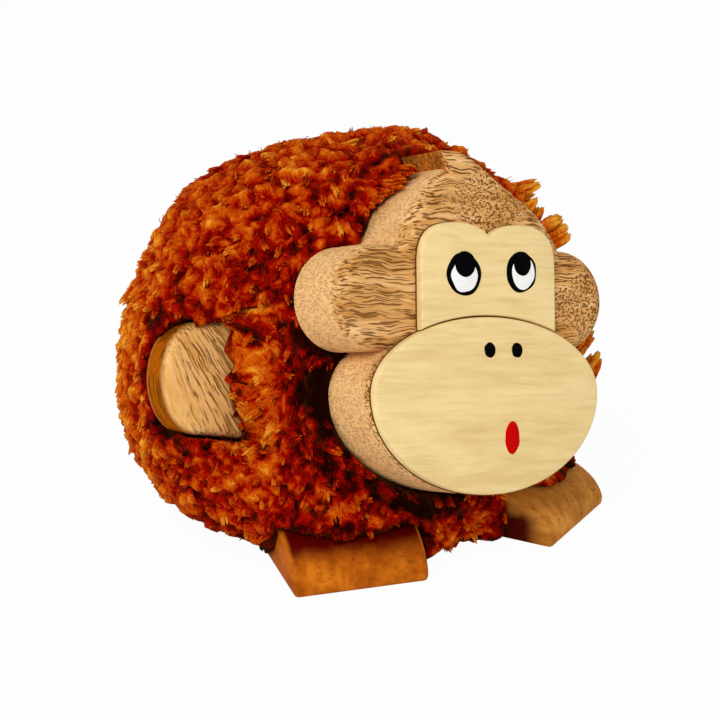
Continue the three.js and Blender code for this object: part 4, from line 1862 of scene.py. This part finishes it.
    def flame(self, wood: BVHTree, place: Vector, way: Vector, lean: Vector,
              draws: random.Random) -> Optional[CutEnd]:
        """Lays one fat lock of yarn down on the fleece.

        Args:
            wood: The wooden nodes.
            place: Where it lies.
            way: Which way the fleece faces there.
            lean: Which way its clump leans.
            draws: Source of its chance shape.

        Returns:
            The lock, or nothing beside the wood.
        """
        flow = lean * 0.55 + Vector((0.0, 0.0, -0.8))
        flow = (flow - way * flow.dot(way)).normalized()
        crest, _, tone = self.puffed(place)
        tall = self.flame_length * draws.uniform(0.8, 1.25)
        tilt = draws.uniform(0.85, 1.15)
        ease, swell, _ = self.hug(wood, place)
        sunk = self.bed_relief * self.flame_sunk * (1.0 - crest) * ease
        height = self.flame_proud - sunk + swell + draws.gauss(0, 0.25)
        tip = place + way * height + flow * (tall * 0.5 * math.sin(tilt))
        root = tip - way * (tall * math.cos(tilt)) - flow * (tall * math.sin(tilt))
        ends = self.shorn(wood, place, root, tip, self.flame_trim)
        if ends is None:
            return None
        # Painted shade: darker in the creases between puffs, plus the pile's painted shade and light.
        tone += 0.5 * crest - 0.3 + self.flame_shade * self.shade(wood, place, way) + draws.gauss(0.02, 0.09)
        return CutEnd(*ends, tone, draws.random(), draws.choice(self.locks), self.flame_width)

    def cut_end(self, wood: BVHTree, place: Vector, way: Vector, lean: Vector, lift: float,
                draws: random.Random) -> Optional[CutEnd]:
        """Plants one thin cut end, which leans to the edge of its puff.

        Args:
            wood: The wooden nodes.
            place: Where it stands.
            way: Which way the fleece faces there.
            lean: Which way its clump leans.
            lift: How far its clump stands out.
            draws: Source of its chance shape.

        Returns:
            The cut end, or nothing underneath and beside the wood.
        """
        crest, spread, tone = self.puffed(place)
        ease, swell, gap = self.hug(wood, place)
        if way.z < self.under or (gap < self.under_gap and way.z < self.under_near):
            return None
        outer = 1.0 - crest
        flow = spread * 2.2 + lean * 0.45
        flow += stray(draws, 0.25)
        flow = (flow - way * flow.dot(way)).normalized()
        tilt = min(1.3, max(0.45, 0.6 + 0.5 * outer + draws.gauss(0, 0.15)))
        tall = self.length * draws.uniform(0.85, 1.15)
        height = self.proud - self.bed_relief * self.end_sunk * outer * ease + swell
        height += lift * 0.5 + draws.gauss(0, 0.2)
        root = place - way * (tall * math.cos(tilt) - height) - flow * (tall * 0.6 * math.sin(tilt))
        tip = root + way * (tall * math.cos(tilt)) + flow * (tall * math.sin(tilt))
        ends = self.shorn(wood, place, root, tip)
        if ends is None:
            return None
        # Painted shade: darker in the creases between puffs, plus the pile's painted shade and light.
        tone += 0.74 * crest - 0.62 + self.shade(wood, place, way) + draws.gauss(0, 0.04)
        return CutEnd(*ends, tone, draws.random(), draws.randrange(self.locks[0]), 1.0)

    def build_pile(self, places: list[Vector], ways: list[Vector], picked: list[int],
                   wood: BVHTree, material: bpy.types.Material) -> None:
        """Plants the locks and the cut ends and joins them in pieces.

        Args:
            places: Where they stand.
            ways: Which way they point.
            picked: Numbers of those in the middle of a clump.
            wood: The wooden nodes.
            material: The yarn's finish.
        """
        draws = random.Random(self.seed + 3)
        centres = np.array([tuple(places[index]) for index in picked])
        leans = [Vector((draws.gauss(0, 1), draws.gauss(0, 1), draws.gauss(0, 1) - 0.4)) for _ in picked]
        lifts = [draws.gauss(0, 0.3) for _ in picked]
        planted = self.loose_ends(draws) + self.draped_locks(draws)
        for index, lean in zip(picked, leans):
            planted.append(self.flame(wood, places[index], ways[index], lean, draws))
        for place, way in zip(places, ways):
            gaps = np.linalg.norm(centres - np.array(tuple(place)), axis=1)
            clump = int(gaps.argmin())
            planted.append(self.cut_end(wood, place, way, leans[clump], lifts[clump], draws))
        planted = [end for end in planted if end is not None]
        planted.sort(key=lambda end: math.atan2(end.root.y, end.root.x))
        for start in range(0, len(planted), self.chunk):
            self.plant(planted[start:start + self.chunk], start // self.chunk + 1, material)

    def plant(self, planted: list[CutEnd], number: int, material: bpy.types.Material) -> None:
        """Makes one piece of the pile.

        Args:
            planted: Its locks and cut ends.
            number: The piece's number.
            material: The yarn's finish.
        """
        shape = bmesh.new()
        for end in planted:
            shape.from_mesh(self.templates[end.kind][0])
        shape.verts.ensure_lookup_table()
        depth, tone = [], []
        first = 0
        for end in planted:
            width = self.length * end.width
            along = end.tip - end.root
            upright = along.to_track_quat("Z", "Y").to_matrix().to_4x4()
            spin = upright @ Matrix.Rotation(end.turn * FULL_TURN, 4, "Z")
            size = Matrix.Diagonal((width, width, along.length, 1.0))
            where = Matrix.Scale(MM, 4) @ Matrix.Translation(end.root) @ spin @ size
            grades = self.templates[end.kind][1]
            for vert in shape.verts[first:first + len(grades)]:
                vert.co = where @ vert.co
                vert.co.z = max(vert.co.z, self.pile_lift)
            first += len(grades)
            depth.append(grades)
            tone.append(np.full(len(grades), end.tone))
        self.dress(f"yarn_pile_{number:02d}", shape, np.concatenate(depth), np.concatenate(tone), material)


@dataclass
class Insides:
    """The hidden core, its cord and the dowels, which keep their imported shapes."""

    names: tuple[str, ...] = (
        "body_core", "tie_cord", "neck_dowel", "right_arm_dowel", "left_arm_dowel", "right_foot_dowel",
        "left_foot_dowel",
    )

    def build(self) -> None:
        """Dresses the hidden nodes."""
        middle = stand(CENTRE)
        wood = INNER_WOOD.material(middle)
        cord = CORD.material(middle)
        for name in self.names:
            mesh = frame["nodes"][name].data
            mesh.materials.clear()
            mesh.materials.append(cord if name == "tie_cord" else wood)
            LOG.info("%s: packed shape, dressed", name)


class Lamp(NamedTuple):
    """One soft lamp: its name, its place and width in millimetres, and its power in watts."""

    name: str
    place: tuple[float, float, float]
    size: float
    power: float


@dataclass
class Studio:
    """Floor, lamps, background and camera."""

    camera_place: tuple[float, float, float] = (-259.5, -374.4, 188.9)
    camera_aim: tuple[float, float, float] = (-6.3, -9.5, 40.6)
    lens: float = 93.65
    sensor: float = 36.0
    clip: tuple[float, float] = (0.01, 20.0)
    floor_size: float = 6000.0
    floor_grey: float = 0.9
    floor_rough: float = 0.9
    floor_white: float = 0.96
    world_light: float = 0.47
    lamps: tuple[Lamp, ...] = (
        Lamp("key", (-800.0, -560.0, 780.0), 500.0, 7.0),
        Lamp("fill", (420.0, -800.0, 350.0), 600.0, 1.0),
        Lamp("rim", (-760.0, 420.0, 520.0), 400.0, 1.2),
    )

    def floor(self) -> None:
        """Lays the pale floor."""
        shape = bmesh.new()
        bmesh.ops.create_grid(shape, x_segments=2, y_segments=2, size=self.floor_size * MM / 2)
        mesh = meshed("floor", shape)
        graph = Graph("floor")
        grey = (self.floor_grey, self.floor_grey, self.floor_grey, 1.0)
        looks = {"Base Color": grey, "Roughness": self.floor_rough, "Specular IOR Level": 0.0}
        graph.put(graph.shader, looks)
        glow = graph.add("ShaderNodeEmission")
        path = graph.add("ShaderNodeLightPath")
        share = graph.math("MULTIPLY", (path, "Is Camera Ray"), self.floor_white)
        mix = graph.add("ShaderNodeMixShader")
        graph.feed(mix, "Fac", share)
        graph.join(graph.shader, "BSDF", mix, 1)
        graph.join(glow, "Emission", mix, 2)
        graph.join(mix, "Shader", graph.output, "Surface")
        mesh.materials.append(graph.material)
        piece = linked("floor", mesh)

    def sky(self) -> None:
        """Sets the soft surrounding light and the white background."""
        world = bpy.data.worlds.new("studio")
        bpy.context.scene.world = world
        world.use_nodes = True
        tree = world.node_tree
        tree.nodes.clear()
        output = tree.nodes.new("ShaderNodeOutputWorld")
        light, white = (tree.nodes.new("ShaderNodeBackground") for _ in range(2))
        for node, strength in ((light, self.world_light), (white, 1.0)):
            node.inputs["Color"].default_value = (1.0, 1.0, 1.0, 1.0)
            node.inputs["Strength"].default_value = strength
        path = tree.nodes.new("ShaderNodeLightPath")
        seen, clear = (tree.nodes.new("ShaderNodeMath") for _ in range(2))
        for node in (seen, clear):
            node.operation = "MAXIMUM"
        mix = tree.nodes.new("ShaderNodeMixShader")
        links = (
            (path.outputs["Is Camera Ray"], seen.inputs[0]),
            (path.outputs["Is Glossy Ray"], seen.inputs[1]),
            (seen.outputs[0], clear.inputs[0]),
            (path.outputs["Is Transmission Ray"], clear.inputs[1]),
            (clear.outputs[0], mix.inputs["Fac"]),
            (light.outputs[0], mix.inputs[1]),
            (white.outputs[0], mix.inputs[2]),
            (mix.outputs[0], output.inputs["Surface"]),
        )
        for source, target in links:
            tree.links.new(source, target)

    def aimed(self, name: str, data: bpy.types.ID, place: Sequence[float]) -> bpy.types.Object:
        """Places a lamp or the camera and turns it to the figure.

        Args:
            name: Its name.
            data: The lamp or the camera.
            place: Its place in millimetres.

        Returns:
            The placed object.
        """
        piece = linked(name, data)
        piece.location = Vector(place) * MM
        aim = Vector(self.camera_aim) * MM - piece.location
        piece.rotation_euler = aim.to_track_quat("-Z", "Y").to_euler()
        return piece

    def light(self, lamp: Lamp) -> None:
        """Hangs one soft lamp that looks at the figure."""
        data = bpy.data.lights.new(lamp.name, "AREA")
        data.shape = "DISK"
        data.size = lamp.size * MM
        data.energy = lamp.power
        self.aimed(lamp.name, data, lamp.place)

    def camera(self) -> None:
        """Sets the camera where the photograph was taken from."""
        data = bpy.data.cameras.new("camera")
        data.lens = self.lens
        data.sensor_width = self.sensor
        data.clip_start, data.clip_end = self.clip
        data.dof.use_dof = False
        bpy.context.scene.camera = self.aimed("camera", data, self.camera_place)

    def build(self) -> None:
        """Sets up everything that isn't the figure."""
        bpy.context.scene.view_settings.view_transform = "Standard"
        self.camera()
        self.floor()
        self.sky()
        for lamp in self.lamps:
            self.light(lamp)


def main() -> None:
    """Builds the figure and its studio."""
    logging.basicConfig(level=logging.INFO, format="%(message)s")
    Studio().build()
    Head().build()
    for side in Side:
        Arm(side).build()
        Foot(side).build()
    Insides().build()
    YarnPile().build()


if __name__ == "__main__":
    main()
